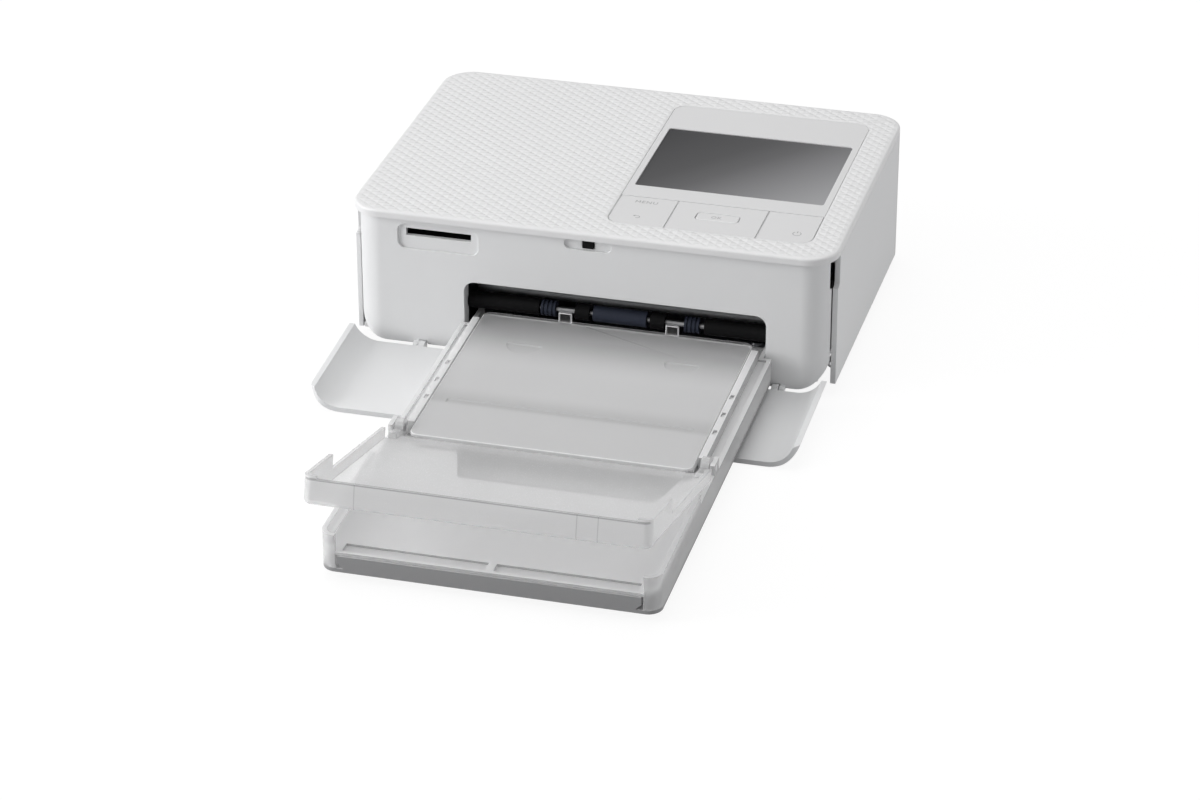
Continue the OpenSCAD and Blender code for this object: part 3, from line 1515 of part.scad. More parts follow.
module outer_lid() {
    pocket_r = lid_r - lid_t;
    color("lightgray") in_lid() difference() {
        union() {
            difference() {
                union() {
                    // tray with its low side walls
                    lid_form(lid_side_h);
                    // high front wall
                    intersection() {
                        lid_form(lid_front_h);
                        translate([-lid_w, -lid_l - cut, -lid_drop - cut])
                            cube([2 * lid_w, lid_post_l, lid_front_h + 3 * cut]);
                    }
                    // corner posts
                    intersection() {
                        lid_form(lid_post_h);
                        for (s = [-1, 1]) translate([s * (lid_w / 2 - lid_r / 2 - 1) - lid_r / 2
                            - 1, -lid_l - cut, -lid_drop - cut])
                            cube([lid_r + 2, lid_post_l + cut, lid_post_h + 3 * cut]);
                    }
                }
                translate([0, -lid_l / 2 + lid_t, lid_t - lid_drop])
                    rounded_box(lid_w - 2 * lid_t, lid_l, lid_post_h + cut, pocket_r);
            }
            // narrower floor behind the side walls
            slab_w(-lid_drop, lid_t - lid_drop) translate([-lid_half, -lid_narrow - 1])
                square([2 * lid_half, lid_narrow + 1 - lid_floor_in]);
            // hinge ears
            for (s = [-1, 1]) translate([s * (lid_half - ear_w / 2) - ear_w / 2, 0, 0])
                rotate([0, 90, 0]) cylinder(h = ear_w, r = lid_drop);
            for (s = [-1, 1]) translate([s * (lid_half - ear_w / 2) - ear_w / 2,
                -lid_narrow, -lid_drop]) cube([ear_w, lid_narrow, lid_drop]);
        }
        translate([-lid_w, 0, 0]) rotate([0, 90, 0]) cylinder(h = 2 * lid_w, r = lid_pin_r);
    }
}

module lid_pins() {
    color("silver") in_lid() for (s = [-1, 1]) {
        x0 = lid_half - ear_w;
        x1 = cassette_w / 2 - 0.2;
        translate([s > 0 ? x0 : -x1, 0, 0]) rotate([0, 90, 0])
            cylinder(h = x1 - x0, r = lid_pin_r);
    }
}

top_cover();
front_housing();
left_panel();
rear_panel();
port_plate();
ink_door();
door_pins();
base_pan();
feet();
front_cover();
cover_pins();
cover_catch();
control_panel();
display_window();
display_module();
left_key();
four_way_pad();
ok_button();
power_key();
key_board();
chassis();
bay_liner();
pickup_shaft();
pickup_rollers();
shaft_collars();
feed_roller();
pinch_roller();
platen_roller();
thermal_head();
head_bracket();
head_springs();
bushes();
motor();
motor_bracket();
motor_pinion();
idler_gear();
idler_post();
feed_gear();
pickup_gear();
takeup_gear();
ink_shell();
supply_spool();
takeup_spool();
ribbon();
eject_lever();
lever_pin();
main_board();
card_reader();
usb_port();
power_inlet();
screws();
cassette_body();
lower_tray();
lift_plate();
inner_cover();
outer_lid();
lid_pins();
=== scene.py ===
import math

import bmesh
import bpy
from mathutils import Matrix, Vector


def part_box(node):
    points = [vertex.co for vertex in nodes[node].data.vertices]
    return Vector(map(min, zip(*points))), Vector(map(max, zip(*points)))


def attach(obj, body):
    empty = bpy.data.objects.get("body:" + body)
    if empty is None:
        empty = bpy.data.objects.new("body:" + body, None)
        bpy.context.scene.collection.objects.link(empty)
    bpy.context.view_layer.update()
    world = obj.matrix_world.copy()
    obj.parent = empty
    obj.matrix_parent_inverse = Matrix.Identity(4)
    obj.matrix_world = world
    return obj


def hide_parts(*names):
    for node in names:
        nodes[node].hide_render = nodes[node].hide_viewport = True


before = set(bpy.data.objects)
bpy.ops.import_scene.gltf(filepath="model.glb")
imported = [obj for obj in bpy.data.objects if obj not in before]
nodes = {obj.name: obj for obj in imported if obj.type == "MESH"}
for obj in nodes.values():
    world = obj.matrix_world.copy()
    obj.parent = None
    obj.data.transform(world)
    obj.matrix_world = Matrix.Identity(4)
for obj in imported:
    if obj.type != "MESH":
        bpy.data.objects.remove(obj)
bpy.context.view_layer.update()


# ---------------------------------------------------------------- table top and studio
# A pale, seamless table top. It shows as white round the printer and keeps a faint
# shadow under it; what it throws back up on the printer is half of what falls on it.

def fed(tree, node, feeds):
    """Feeds a node's sockets with plain values or with what other nodes put out."""
    for socket, source in feeds.items():
        if isinstance(source, bpy.types.NodeSocket):
            tree.links.new(source, node.inputs[socket])
        else:
            node.inputs[socket].default_value = source
    return node


def added(tree, kind, feeds, **settings):
    """A new node with its own settings, its sockets fed with feeds."""
    node = tree.nodes.new(kind)
    for setting, value in settings.items():
        setattr(node, setting, value)
    return fed(tree, node, feeds)


def graded(tree, value, start=0, end=1, first=0, last=1, curve="LINEAR"):
    """Grades a value, so that it is first up to start and last from end on."""
    return added(tree, "ShaderNodeMapRange",
                 {"Value": value, "From Min": start, "From Max": end,
                  "To Min": first, "To Max": last},
                 interpolation_type=curve).outputs["Result"]


def worked(tree, operation, *terms):
    """The result of a sum whose terms are plain numbers or what other nodes put out."""
    return added(tree, "ShaderNodeMath", dict(enumerate(terms)), operation=operation).outputs[0]


def blank_finish(name):
    """A new material and the tree of its nodes."""
    finish = bpy.data.materials.new(name)
    finish.use_nodes = True
    return finish, finish.node_tree


def seen_by_lens(tree, rays):
    """One where a ray is of any of the named kinds, nought elsewhere."""
    path = added(tree, "ShaderNodeLightPath", {})
    total = path.outputs[rays[0]]
    for kind in rays[1:]:
        total = worked(tree, "MAXIMUM", total, path.outputs[kind])
    return total


def table_top():
    """The table. The lens, gloss and clear plastic see a white glow, and on it a soft
    grey that takes the shadow. To all other rays it is a plain grey, which lights the
    printer from below."""
    table_w, below_feet, glow_level = 6, 0.0002, 0.90
    shadow_grey, under_grey = (0.13, 0.13, 0.13, 1), (0.50, 0.50, 0.51, 1)
    bpy.ops.mesh.primitive_plane_add(size=table_w, location=(0, 0, 0))
    table = bpy.context.object
    table.name = "table_top"
    table.location.z = -below_feet
    paint, tree = blank_finish("table_white")
    tree.nodes.clear()
    glow = added(tree, "ShaderNodeEmission", {"Color": (1, 1, 1, 1), "Strength": glow_level})
    soft = added(tree, "ShaderNodeBsdfDiffuse", {"Color": shadow_grey})
    seen = added(tree, "ShaderNodeAddShader", {0: glow.outputs[0], 1: soft.outputs[0]})
    under = added(tree, "ShaderNodeBsdfDiffuse", {"Color": under_grey})
    shown = seen_by_lens(tree, ("Is Camera Ray", "Is Glossy Ray", "Is Transmission Ray"))
    mix = added(tree, "ShaderNodeMixShader",
                {0: shown, 1: under.outputs[0], 2: seen.outputs[0]})
    added(tree, "ShaderNodeOutputMaterial", {"Surface": mix.outputs[0]})
    table.data.materials.append(paint)


def studio_light():
    """A dim white room with five square softboxes, all aimed at the printer."""
    room_level, aim = 0.28, Vector((0, -0.05, 0.04))
    world = bpy.data.worlds.new("studio")
    bpy.context.scene.world = world
    world.use_nodes = True
    tree = world.node_tree
    shown = seen_by_lens(tree, ("Is Camera Ray", "Is Transmission Ray"))
    fed(tree, tree.nodes["Background"],
        {"Color": (1, 1, 1, 1), "Strength": graded(tree, shown, first=room_level)})
    for name, place, size, watts in (
        ("softbox_left", (-1.3, -0.9, 1.5), 1.2, 7.9),
        ("softbox_top", (-0.2, 0.35, 1.9), 1.5, 14.6),
        ("strip_left", (-1.25, -0.62, 0.45), 0.7, 12.2),
        ("fill_front", (0.2, -1.9, 0.7), 1.0, 0.8),
        ("fill_right", (1.6, 0.1, 0.6), 1.0, 5.6),
    ):
        lamp = bpy.data.lights.new(name, "AREA")
        lamp.shape = "SQUARE"
        lamp.size = size
        lamp.energy = watts
        softbox = bpy.data.objects.new(name, lamp)
        bpy.context.scene.collection.objects.link(softbox)
        softbox.location = place
        softbox.rotation_mode = "QUATERNION"
        softbox.rotation_quaternion = (aim - Vector(place)).to_track_quat("-Z", "Y")


def camera_at_counter():
    """The camera of someone who stands at the counter, a little to the right."""
    lens, sensor_w, nearest, farthest = 116.47, 36, 0.05, 20
    place = (0.333565, -1.285741, 0.661657)
    right = Vector((0.965715, 0.259603, -0.001002)).normalized()
    up = Vector((-0.120966, 0.453397, 0.883062)).normalized()
    shot = bpy.data.cameras.new("camera")
    shot.lens = lens
    shot.sensor_width = sensor_w
    shot.clip_start, shot.clip_end = nearest, farthest
    rig = bpy.data.objects.new("camera", shot)
    bpy.context.scene.collection.objects.link(rig)
    rig.matrix_world = Matrix((*zip(right, up, right.cross(up), place), (0, 0, 0, 1)))
    bpy.context.scene.camera = rig


table_top()
studio_light()
camera_at_counter()
bpy.context.scene.view_settings.view_transform = "Standard"


# ---------------------------------------------------------------- casing
# Injection-moulded white ABS panels with a fine spark-eroded grain. Each panel's cut
# edges are eased by a fraction of a millimetre, as the mould leaves them.

def grain_group():
    """Fine moulded grain: a height for bump and a slow tone change over the panel."""
    group = bpy.data.node_groups.new("moulded_grain", "ShaderNodeTree")
    for socket, way in (("Grain Scale", "INPUT"), ("Tone Scale", "INPUT"),
                        ("Height", "OUTPUT"), ("Tone", "OUTPUT")):
        group.interface.new_socket(socket, in_out=way, socket_type="NodeSocketFloat")
    scales = added(group, "NodeGroupInput", {})
    place = added(group, "ShaderNodeTexCoord", {}).outputs["Object"]
    fine = added(group, "ShaderNodeTexNoise",
                 {"Vector": place, "Scale": scales.outputs["Grain Scale"], "Detail": 3})
    slow = added(group, "ShaderNodeTexNoise",
                 {"Vector": place, "Scale": scales.outputs["Tone Scale"], "Detail": 2})
    added(group, "NodeGroupOutput",
          {"Height": fine.outputs["Fac"], "Tone": slow.outputs["Fac"]})
    return group


moulded_grain = grain_group()


def mixed(tree, factor, first, second, way="MIX"):
    """A colour between two others, each a plain one or what another node puts out."""
    return added(tree, "ShaderNodeMix", {"Factor": factor, "A": first, "B": second},
                 data_type="RGBA", blend_type=way).outputs["Result"]


def plastic(name, dark, light, roughness, grain=2500, depth=0.00002):
    """Moulded plastic between two near tones, with grain in its bump and roughness.
    grain is how fine the grain is, and depth how deep, in metres."""
    cloud_scale, smoother, rougher = 14, 0.04, 0.06
    finish, tree = blank_finish(name)
    skin = added(tree, "ShaderNodeGroup", {"Grain Scale": grain, "Tone Scale": cloud_scale},
                 node_tree=moulded_grain)
    height = skin.outputs["Height"]
    bump = added(tree, "ShaderNodeBump", {"Height": height, "Strength": 0.5, "Distance": depth})
    fed(tree, tree.nodes["Principled BSDF"], {
        "Base Color": mixed(tree, skin.outputs["Tone"], (*dark, 1), (*light, 1)),
        "Roughness": graded(tree, height, first=roughness - smoother, last=roughness + rougher),
        "Normal": bump.outputs["Normal"]})
    return finish


def finish_nodes(material, *names):
    """Gives carried-over nodes their finish."""
    for name in names:
        slots = nodes[name].data.materials
        slots.clear()
        slots.append(material)


def placed(name, mesh, body):
    """A piece made of a finished mesh, which rides on a body."""
    piece = bpy.data.objects.new(name, mesh)
    bpy.context.scene.collection.objects.link(piece)
    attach(piece, body)
    return piece


def eased(name, body, material, edge=0.0003, edge_painted_light=None, outer_only=False):
    """A moulded copy of a node with its sharp edges eased, standing in its place. The
    eased edges may have a material of their own, which paints a highlight or a shade on
    them. Where clips or shallow recesses would pinch every edge to nothing, only the
    outward edges are eased, to their full size."""
    same_place, flat_within, sharp, crease = 0.000004, 0.5, 28, 40
    mesh = nodes[name].data.copy()
    mesh.name = name + "_moulded"
    work = bmesh.new()
    work.from_mesh(mesh)
    bmesh.ops.remove_doubles(work, verts=work.verts, dist=same_place)
    bmesh.ops.dissolve_limit(work, angle_limit=math.radians(flat_within), verts=work.verts,
                             edges=work.edges, delimit=set())
    keen = [side for side in work.edges if len(side.link_faces) == 2
            and side.calc_face_angle(0) > math.radians(sharp)
            and (side.is_convex or not outer_only)]
    rounds = bmesh.ops.bevel(work, geom=keen, offset=edge, offset_type="OFFSET",
                             affect="EDGES", segments=2, profile=0.5, material=-1,
                             clamp_overlap=not outer_only)
    # The rounds may take the edge material, which paints a highlight or a shade line on them.
    for face in rounds["faces"]:
        face.material_index = 1 if edge_painted_light else 0
    for face in work.faces:
        face.smooth = True
    mesh.materials.clear()
    mesh.materials.append(material)
    if edge_painted_light:
        mesh.materials.append(edge_painted_light)
    work.to_mesh(mesh)
    work.free()
    mesh.set_sharp_from_angle(angle=math.radians(crease))
    piece = placed(mesh.name, mesh, body)
    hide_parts(name)
    flat = piece.modifiers.new("flat_faces", "WEIGHTED_NORMAL")
    flat.keep_sharp = True
    flat.weight = 100
    return piece


casing_white = plastic("casing_white", (0.80, 0.805, 0.81), (0.83, 0.835, 0.84), 0.5)
for name in ("left_panel", "port_plate", "rear_panel", "base_pan"):
    eased(name, "printer", casing_white)
for name in ("ink_door", "front_cover"):
    eased(name, name, casing_white)
eased("front_housing", "printer", casing_white, edge=0.00025, outer_only=True)


# ---------------------------------------------------------------- top cover
# The lid of the casing, moulded in white ABS with a staggered lattice of low four-sided
# scales all over its flat top. Its rolled edge is left smooth.

def raise_scales(piece):
    """Cuts the flat top into diamonds and pokes each one up into a low pyramid."""
    scale_w, scale_d, scale_h = 0.00522, 0.00417, 0.00036
    whole, least_share = scale_w * scale_d / 2, 0.15
    upward, level_within, same_place = 0.999, 0.0001, 0.0000005
    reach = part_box("top_cover")[1]
    work = bmesh.new()
    work.from_mesh(piece.data)
    top = max(corner.co.z for corner in work.verts)
    flat = [face for face in work.faces if face.normal.z > upward
            and face.calc_center_median().z > top - level_within]
    steps = int(reach.x / scale_w + reach.y / scale_d) + 1
    for way in (-1, 1):
        for step in range(-steps, steps + 1):
            edges = list({edge for face in flat for edge in face.edges})
            corners = list({corner for face in flat for corner in face.verts})
            cut = bmesh.ops.bisect_plane(work, geom=[*flat, *edges, *corners], dist=same_place,
                                         plane_co=(step * scale_w, 0, 0),
                                         plane_no=(1 / scale_w, way / scale_d, 0))
            flat = [part for part in cut["geom"] if isinstance(part, bmesh.types.BMFace)]
    cells = [face for face in flat if face.calc_area() > least_share * whole]
    poked = bmesh.ops.poke(work, faces=cells, offset=0, center_mode="MEAN_WEIGHTED",
                           use_relative_offset=False)
    for face in poked["faces"]:
        face.smooth = False
    for peak in poked["verts"]:
        share = sum(face.calc_area() for face in peak.link_faces) / whole
        peak.co.z += scale_h * min(1, share)
    work.to_mesh(piece.data)
    work.free()


scaled_white = plastic("scaled_white", (0.815, 0.815, 0.82), (0.835, 0.835, 0.84), 0.42)
raise_scales(eased("top_cover", "printer", scaled_white, edge=0.0002))


# ---------------------------------------------------------------- control panel
# A smooth satin plate let into the top cover, with the screen's window and a row of
# keys. Thin moulded walls stand between the key caps and round the row, so that only
# hairline gaps show.

panel_satin = plastic("panel_satin", (0.76, 0.76, 0.765), (0.79, 0.79, 0.795), 0.36,
                      grain=4200, depth=0.000008)
ok_white = plastic("ok_white", (0.78, 0.78, 0.785), (0.80, 0.80, 0.805), 0.3,
                   grain=4200, depth=0.000006)
eased("control_panel", "printer", panel_satin, edge=0.0002)
for name in ("left_key", "four_way_pad", "power_key"):
    eased(name, name, panel_satin, edge=0.0002)
eased("ok_button", "ok_button", ok_white)

# The thin walls stop just short of the keys' far edge and of their tops.
key_low, key_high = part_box("left_key")
short_of_edge, short_of_top = 0.00015, 0.00025
row_end = key_high.y - short_of_edge
wall_top = key_high.z - short_of_top


def block_on(work, low, high):
    """Adds a block between two corners."""
    low, high = Vector(low), Vector(high)
    made = bmesh.ops.create_cube(work, size=1)["verts"]
    bmesh.ops.scale(work, vec=high - low, verts=made)
    bmesh.ops.translate(work, vec=(low + high) / 2, verts=made)


def plate_on(work, low, high, level=0):
    """Adds a flat plate between two corners at one level, and gives back its corners."""
    made = bmesh.ops.create_grid(work, x_segments=1, y_segments=1, size=0.5)["verts"]
    bmesh.ops.scale(work, vec=(high[0] - low[0], high[1] - low[1], 1), verts=made)
    bmesh.ops.translate(work, vec=((low[0] + high[0]) / 2, (low[1] + high[1]) / 2, level),
                        verts=made)
    return made


def break_edges(work, edge):
    """Breaks every edge with one narrow flat."""
    bmesh.ops.bevel(work, geom=list(work.edges), offset=edge, offset_type="OFFSET",
                    affect="EDGES", segments=1, profile=0.5, material=-1)


def formed(name, work, material, body):
    """A piece made of a finished bmesh."""
    mesh = bpy.data.meshes.new(name)
    work.to_mesh(mesh)
    work.free()
    mesh.materials.append(material)
    return placed(name, mesh, body)


def key_ribs():
    """Two thin walls that stand on the key board and fill the gaps between the caps."""
    board_low, board_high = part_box("key_board")
    rib_t, rib_edge, cap_low, front_inset = 0.00024, 0.00004, 0.0564, 0.00005
    work = bmesh.new()
    for left, right in (("left_key", "four_way_pad"), ("four_way_pad", "power_key")):
        middle = (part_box(left)[1].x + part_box(right)[0].x) / 2
        from_x, to_x = middle - rib_t / 2, middle + rib_t / 2
        block_on(work, (from_x, board_low.y, board_high.z), (to_x, board_high.y, cap_low))
        block_on(work, (from_x, key_low.y + front_inset, cap_low), (to_x, row_end, wall_top))
    break_edges(work, rib_edge)
    formed("key_ribs", work, panel_satin, "printer")


def key_collar():
    """A thin wall on the cover's opening that narrows the gap round the row."""
    panel_low, panel_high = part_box("control_panel")
    seam, key_gap, wall_t, radius, wall_h = 0.00015, 0.00025, 0.00023, 0.00565, 0.0022
    same_place = 0.0000005
    work = bmesh.new()
    made = plate_on(work, (panel_low.x - seam, key_low.y - key_gap - seam),
                    (panel_high.x + seam, panel_high.y + seam), wall_top)
    bmesh.ops.bevel(work, geom=made, offset=radius, offset_type="OFFSET", affect="VERTICES",
                    segments=10, profile=0.5, material=-1)
    bmesh.ops.inset_region(work, faces=list(work.faces), thickness=wall_t,
                           use_even_offset=True, use_boundary=True)
    middle = max(work.faces, key=lambda face: face.calc_area())
    bmesh.ops.delete(work, geom=[middle], context="FACES_ONLY")
    skin = bmesh.ops.extrude_face_region(work, geom=list(work.faces))
    foot = [part for part in skin["geom"] if isinstance(part, bmesh.types.BMVert)]
    bmesh.ops.translate(work, vec=(0, 0, -wall_h), verts=foot)
    ends = bmesh.ops.bisect_plane(work, geom=[*work.verts, *work.edges, *work.faces],
                                  dist=same_place, plane_co=(0, row_end, 0),
                                  plane_no=(0, 1, 0), clear_outer=True)
    rims = [part for part in ends["geom_cut"] if isinstance(part, bmesh.types.BMEdge)]
    bmesh.ops.holes_fill(work, edges=rims, sides=0)
    bmesh.ops.recalc_face_normals(work, faces=work.faces)
    formed("key_collar", work, panel_satin, "printer")


key_ribs()
key_collar()


# ---------------------------------------------------------------- marks on the keys
# Pad-printed in grey ink, a hair proud of the keys: a menu word, a return arrow, an OK
# and a power sign.

print_grey = plastic("print_grey", (0.40, 0.40, 0.405), (0.46, 0.46, 0.465), 0.5,
                     grain=4200, depth=0.000003)


def flat_mark(name, work, key, x, y):
    """Gives a flat mark its thickness and prints it on a key, a quarter of it sunk in."""
    ink_t = 0.00004
    top = bmesh.ops.extrude_face_region(work, geom=list(work.faces))
    moved = [part for part in top["geom"] if isinstance(part, bmesh.types.BMVert)]
    bmesh.ops.translate(work, vec=(0, 0, ink_t), verts=moved)
    bmesh.ops.translate(work, vec=(x, y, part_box(key)[1].z - ink_t / 4), verts=work.verts)
    bmesh.ops.recalc_face_normals(work, faces=work.faces)
    formed(name, work, print_grey, key)


def word(text, size, spacing):
    """The outline of a printed word as a flat mesh about its own middle."""
    type_set = bpy.data.curves.new(text, "FONT")
    type_set.body = text
    type_set.size = size
    type_set.space_character = spacing
    type_set.align_x = "CENTER"
    type_set.align_y = "CENTER"
    type_set.resolution_u = 3
    holder = bpy.data.objects.new(text, type_set)
    bpy.context.scene.collection.objects.link(holder)
    shape = bpy.data.meshes.new_from_object(holder)
    bpy.data.objects.remove(holder)
    work = bmesh.new()
    work.from_mesh(shape)
    bmesh.ops.remove_doubles(work, verts=work.verts, dist=0.000005)
    return work


def ring_part(radius, width, first, last, steps):
    """A flat arc of a ring, spun from one short edge."""
    work = bmesh.new()
    ends = [work.verts.new((radius + side * width / 2, 0, 0)) for side in (-1, 1)]
    edge = work.edges.new(ends)
    bmesh.ops.rotate(work, cent=(0, 0, 0), verts=ends,
                     matrix=Matrix.Rotation(math.radians(first), 3, "Z"))
    bmesh.ops.spin(work, geom=[edge, *ends], cent=(0, 0, 0), axis=(0, 0, 1),
                   angle=math.radians(last - first), steps=steps, use_merge=False)
    return work


def power_sign(stroke):
    """A ring with a gap at its far side and a bar that stands in the gap."""
    ring, half_gap, bar_low, bar_high = 0.0015, 35, 0.0005, 0.0020
    work = ring_part(ring, stroke, 90 + half_gap, 450 - half_gap, 28)
    plate_on(work, (-stroke / 2, bar_low), (stroke / 2, bar_high))
    return work


def return_arrow(stroke):
    """A bar that turns back on itself and ends in an arrow head that points left."""
    turn, tail, neck, tip, barb = 0.0008, -0.0006, -0.0011, -0.0019, 0.0006
    work = ring_part(turn, stroke, -90, 90, 12)
    plate_on(work, (neck, turn - stroke / 2), (0, turn + stroke / 2))
    plate_on(work, (tail, -turn - stroke / 2), (0, -turn + stroke / 2))
    work.faces.new([work.verts.new(corner) for corner in
                    ((tip, turn, 0), (neck, turn - barb, 0), (neck, turn + barb, 0))])
    return work


stroke_w = 0.0003
flat_mark("menu_word", word("MENU", size=0.0029, spacing=1.15), "left_key", 0.0143, -0.0345)
flat_mark("ok_word", word("OK", size=0.0026, spacing=1.1), "ok_button", 0.0421, -0.0409)
flat_mark("power_sign", power_sign(stroke_w), "power_key", 0.0733, -0.0463)
flat_mark("return_arrow", return_arrow(stroke_w), "left_key", 0.0141, -0.0472)


# ---------------------------------------------------------------- screen
# A 3.5 inch colour screen, switched off, behind a hard clear window. Its colour is
# painted lighter from its far left corner to its near right one, a painted reflection
# of the studio in the glass.

def axis_of(tree, vector, axis):
    """One axis of a vector."""
    return added(tree, "ShaderNodeSeparateXYZ", {0: vector}).outputs[axis]


def screen_glass_painted_reflection():
    """Dark glass with a painted reflection: its grey goes through the ramp by across from
    left to right, and by toward from the far edge to the near one."""
    across, toward, bluer = 0.62, 0.38, 1.03
    darkest, lightest = (0.060, 0.060, 0.063, 1), (0.39, 0.39, 0.40, 1)
    low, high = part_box("display_window")
    finish, tree = blank_finish("screen_glass_painted_reflection")
    place = added(tree, "ShaderNodeTexCoord", {}).outputs["Object"]
    fit = added(tree, "ShaderNodeMapping",
                {"Vector": place, "Location": low, "Scale": (high.x - low.x, high.y - low.y, 1)},
                vector_type="TEXTURE").outputs["Vector"]
    # The ramp paints the studio's reflection into the glass: lighter towards the near right
    # corner.
    near = worked(tree, "MULTIPLY_ADD", axis_of(tree, fit, "Y"), -toward, toward)
    slope = worked(tree, "MULTIPLY_ADD", axis_of(tree, fit, "X"), across, near)
    ramp = added(tree, "ShaderNodeValToRGB", {"Fac": slope})
    stops = ramp.color_ramp.elements
    stops[0].color = darkest
    stops[1].color = lightest
    for share, grey in ((0.36, 0.097), (0.50, 0.135), (0.90, 0.345)):
        stops.new(share).color = (grey, grey, grey * bluer, 1)
    fed(tree, tree.nodes["Principled BSDF"],
        {"Base Color": ramp.outputs["Color"], "Roughness": 0.28, "Specular IOR Level": 0.12})
    return finish


finish_nodes(screen_glass_painted_reflection(), "display_window")


# ---------------------------------------------------------------- cassette
# Its body, inner cover and outer lid are moulded in natural polypropylene: whitish,
# frosted, and clear enough to show what lies close behind. They lie on a grey tray.

cassette_low, cassette_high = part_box("cassette_body")
cassette_middle = (cassette_low.x + cassette_high.x) / 2


def both(tree, first, second):
    """Where two masks overlap."""
    return worked(tree, "MULTIPLY", first, second)


def ramp_along(tree, axis, start, end, first=0, last=1):
    """A mask that goes smoothly from first to last between two places on an axis."""
    place = added(tree, "ShaderNodeTexCoord", {}).outputs["Object"]
    return graded(tree, axis_of(tree, place, axis), start, end, first, last, "SMOOTHSTEP")


def tinted(finish, mask, tint, way="MIX"):
    """Lays a tint over a finish's colour wherever the mask is 1."""
    tree = finish.node_tree
    shader = tree.nodes["Principled BSDF"]
    colour = shader.inputs["Base Color"].links[0].from_socket
    fed(tree, shader, {"Base Color": mixed(tree, mask, colour, (*tint, 1), way)})


def shaded(finish, mask, shade):
    """Multiplies a finish's colour by shade wherever the mask is 1."""
    tinted(finish, mask, (shade, shade, shade), "MULTIPLY")


def milky(name, tint, body, painted_wall_light, wall_body, roughness):
    """Frosted see-through plastic: body is how much one skin hides, which clouds vary a
    little. Its upright walls have a body of their own and a tint of their own, which is
    painted light or shade that makes them lighter or darker than the lying faces."""
    upright, lying, cloud = 0.3, 0.8, 0.03
    brighter = tuple(min(1, tone * (1 + cloud)) for tone in tint)
    finish = plastic(name, tint, brighter, roughness, grain=3200, depth=0.000006)
    tree = finish.node_tree
    facing = added(tree, "ShaderNodeNewGeometry", {}).outputs["Normal"]
    flatness = worked(tree, "ABSOLUTE", axis_of(tree, facing, "Z"))
    # Painted light and shade: upright walls take their own tint, set by which way they face.
    tinted(finish, graded(tree, flatness, lying, upright), painted_wall_light)
    cloudy = graded(tree, tree.nodes["Group"].outputs["Tone"], first=1 - cloud, last=1 + cloud)
    skin = graded(tree, flatness, upright, lying, wall_body, body)
    fed(tree, tree.nodes["Principled BSDF"], {
        "Alpha": both(tree, cloudy, skin), "Subsurface Weight": 0.5,
        "Subsurface Scale": 0.003, "Subsurface Radius": (1, 1, 1)})
    return finish


def clearer_at_mouth(finish, start, end, least):
    """Lets more of the dark bay show through from start to end, where least is left of
    the plastic's own body."""
    tree = finish.node_tree
    shader = tree.nodes["Principled BSDF"]
    skin = shader.inputs["Alpha"].links[0].from_socket
    fed(tree, shader,
        {"Alpha": both(tree, skin, ramp_along(tree, "Y", start, end, first=1, last=least))})


def frosted_body():
    """The body's plastic. Its rim, from rim_low up, looks greyer than the walls below."""
    rim_low, rim_full, rim_shade = 0.0125, 0.0150, 0.84
    # Upright walls are painted darker than the lying faces: painted shade.
    finish = milky("frosted_body", (0.93, 0.93, 0.935), 0.93, (0.84, 0.84, 0.845), 0.46, 0.35)
    shaded(finish, ramp_along(finish.node_tree, "Z", rim_low, rim_full), rim_shade)
    return finish


def frosted_cover():
    """The inner cover's plastic: clearer towards the bay, with painted shade in a soft line
    across its front half, along its groove."""
    bay_front, mouth, mouth_half = -0.100, -0.062, 0.0005
    left_over_bay, left_at_mouth = 0.40, 0.08
    line_front, line_full, line_fades, line_back = -0.1325, -0.1290, -0.1285, -0.1180
    painted_groove_shade = 0.84
    # Upright walls are painted lighter than the lying faces: painted light.
    finish = milky("frosted_cover", (0.72, 0.72, 0.725), 0.74, (0.90, 0.90, 0.905), 0.72, 0.35)
    clearer_at_mouth(finish, bay_front, mouth, left_over_bay)
    clearer_at_mouth(finish, mouth - mouth_half, mouth + mouth_half, left_at_mouth)
    tree = finish.node_tree
    # Painted shade: a soft dark band along the groove, fading towards the back.
    line = both(tree, ramp_along(tree, "Y", line_front, line_full),
                ramp_along(tree, "Y", line_back, line_fades))
    shaded(finish, line, painted_groove_shade)
    return finish


def frosted_lid():
    """The outer lid's plastic, with three seams in its front and a line of painted shade
    under the rim of its front wall."""
    seam_half, seam_shade, seam_from, seam_full = 0.0003, 0.70, -0.225, -0.228
    post_h, lid_lean, rim_shade, wall_in, wall_full = 0.0011, 13.5, 0.50, 0.0030, 0.0022
    lid_low, lid_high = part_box("outer_lid")
    rim = lid_high.z - post_h * math.cos(math.radians(lid_lean))
    starts, full, fades, ends = (rim + rise for rise in (-0.0008, -0.0004, 0.0001, 0.0003))
    # Upright walls are painted darker than the lying faces: painted shade.
    finish = milky("frosted_lid", (0.92, 0.92, 0.925), 0.36, (0.82, 0.82, 0.825), 0.57, 0.25)
    tree = finish.node_tree
    for seam in (-0.0305, 0.0447, 0.0518):
        line = both(tree, ramp_along(tree, "X", seam - seam_half, seam),
                    ramp_along(tree, "X", seam + seam_half, seam))
        front = ramp_along(tree, "Y", seam_from, seam_full)
        shaded(finish, both(tree, line, front), seam_shade)
    # Painted shade: a dark line just under the rim of the front wall.
    line = both(tree, ramp_along(tree, "Z", starts, full), ramp_along(tree, "Z", ends, fades))
    front = ramp_along(tree, "Y", lid_low.y + wall_in, lid_low.y + wall_full)
    shaded(finish, both(tree, line, front), rim_shade)
    return finish


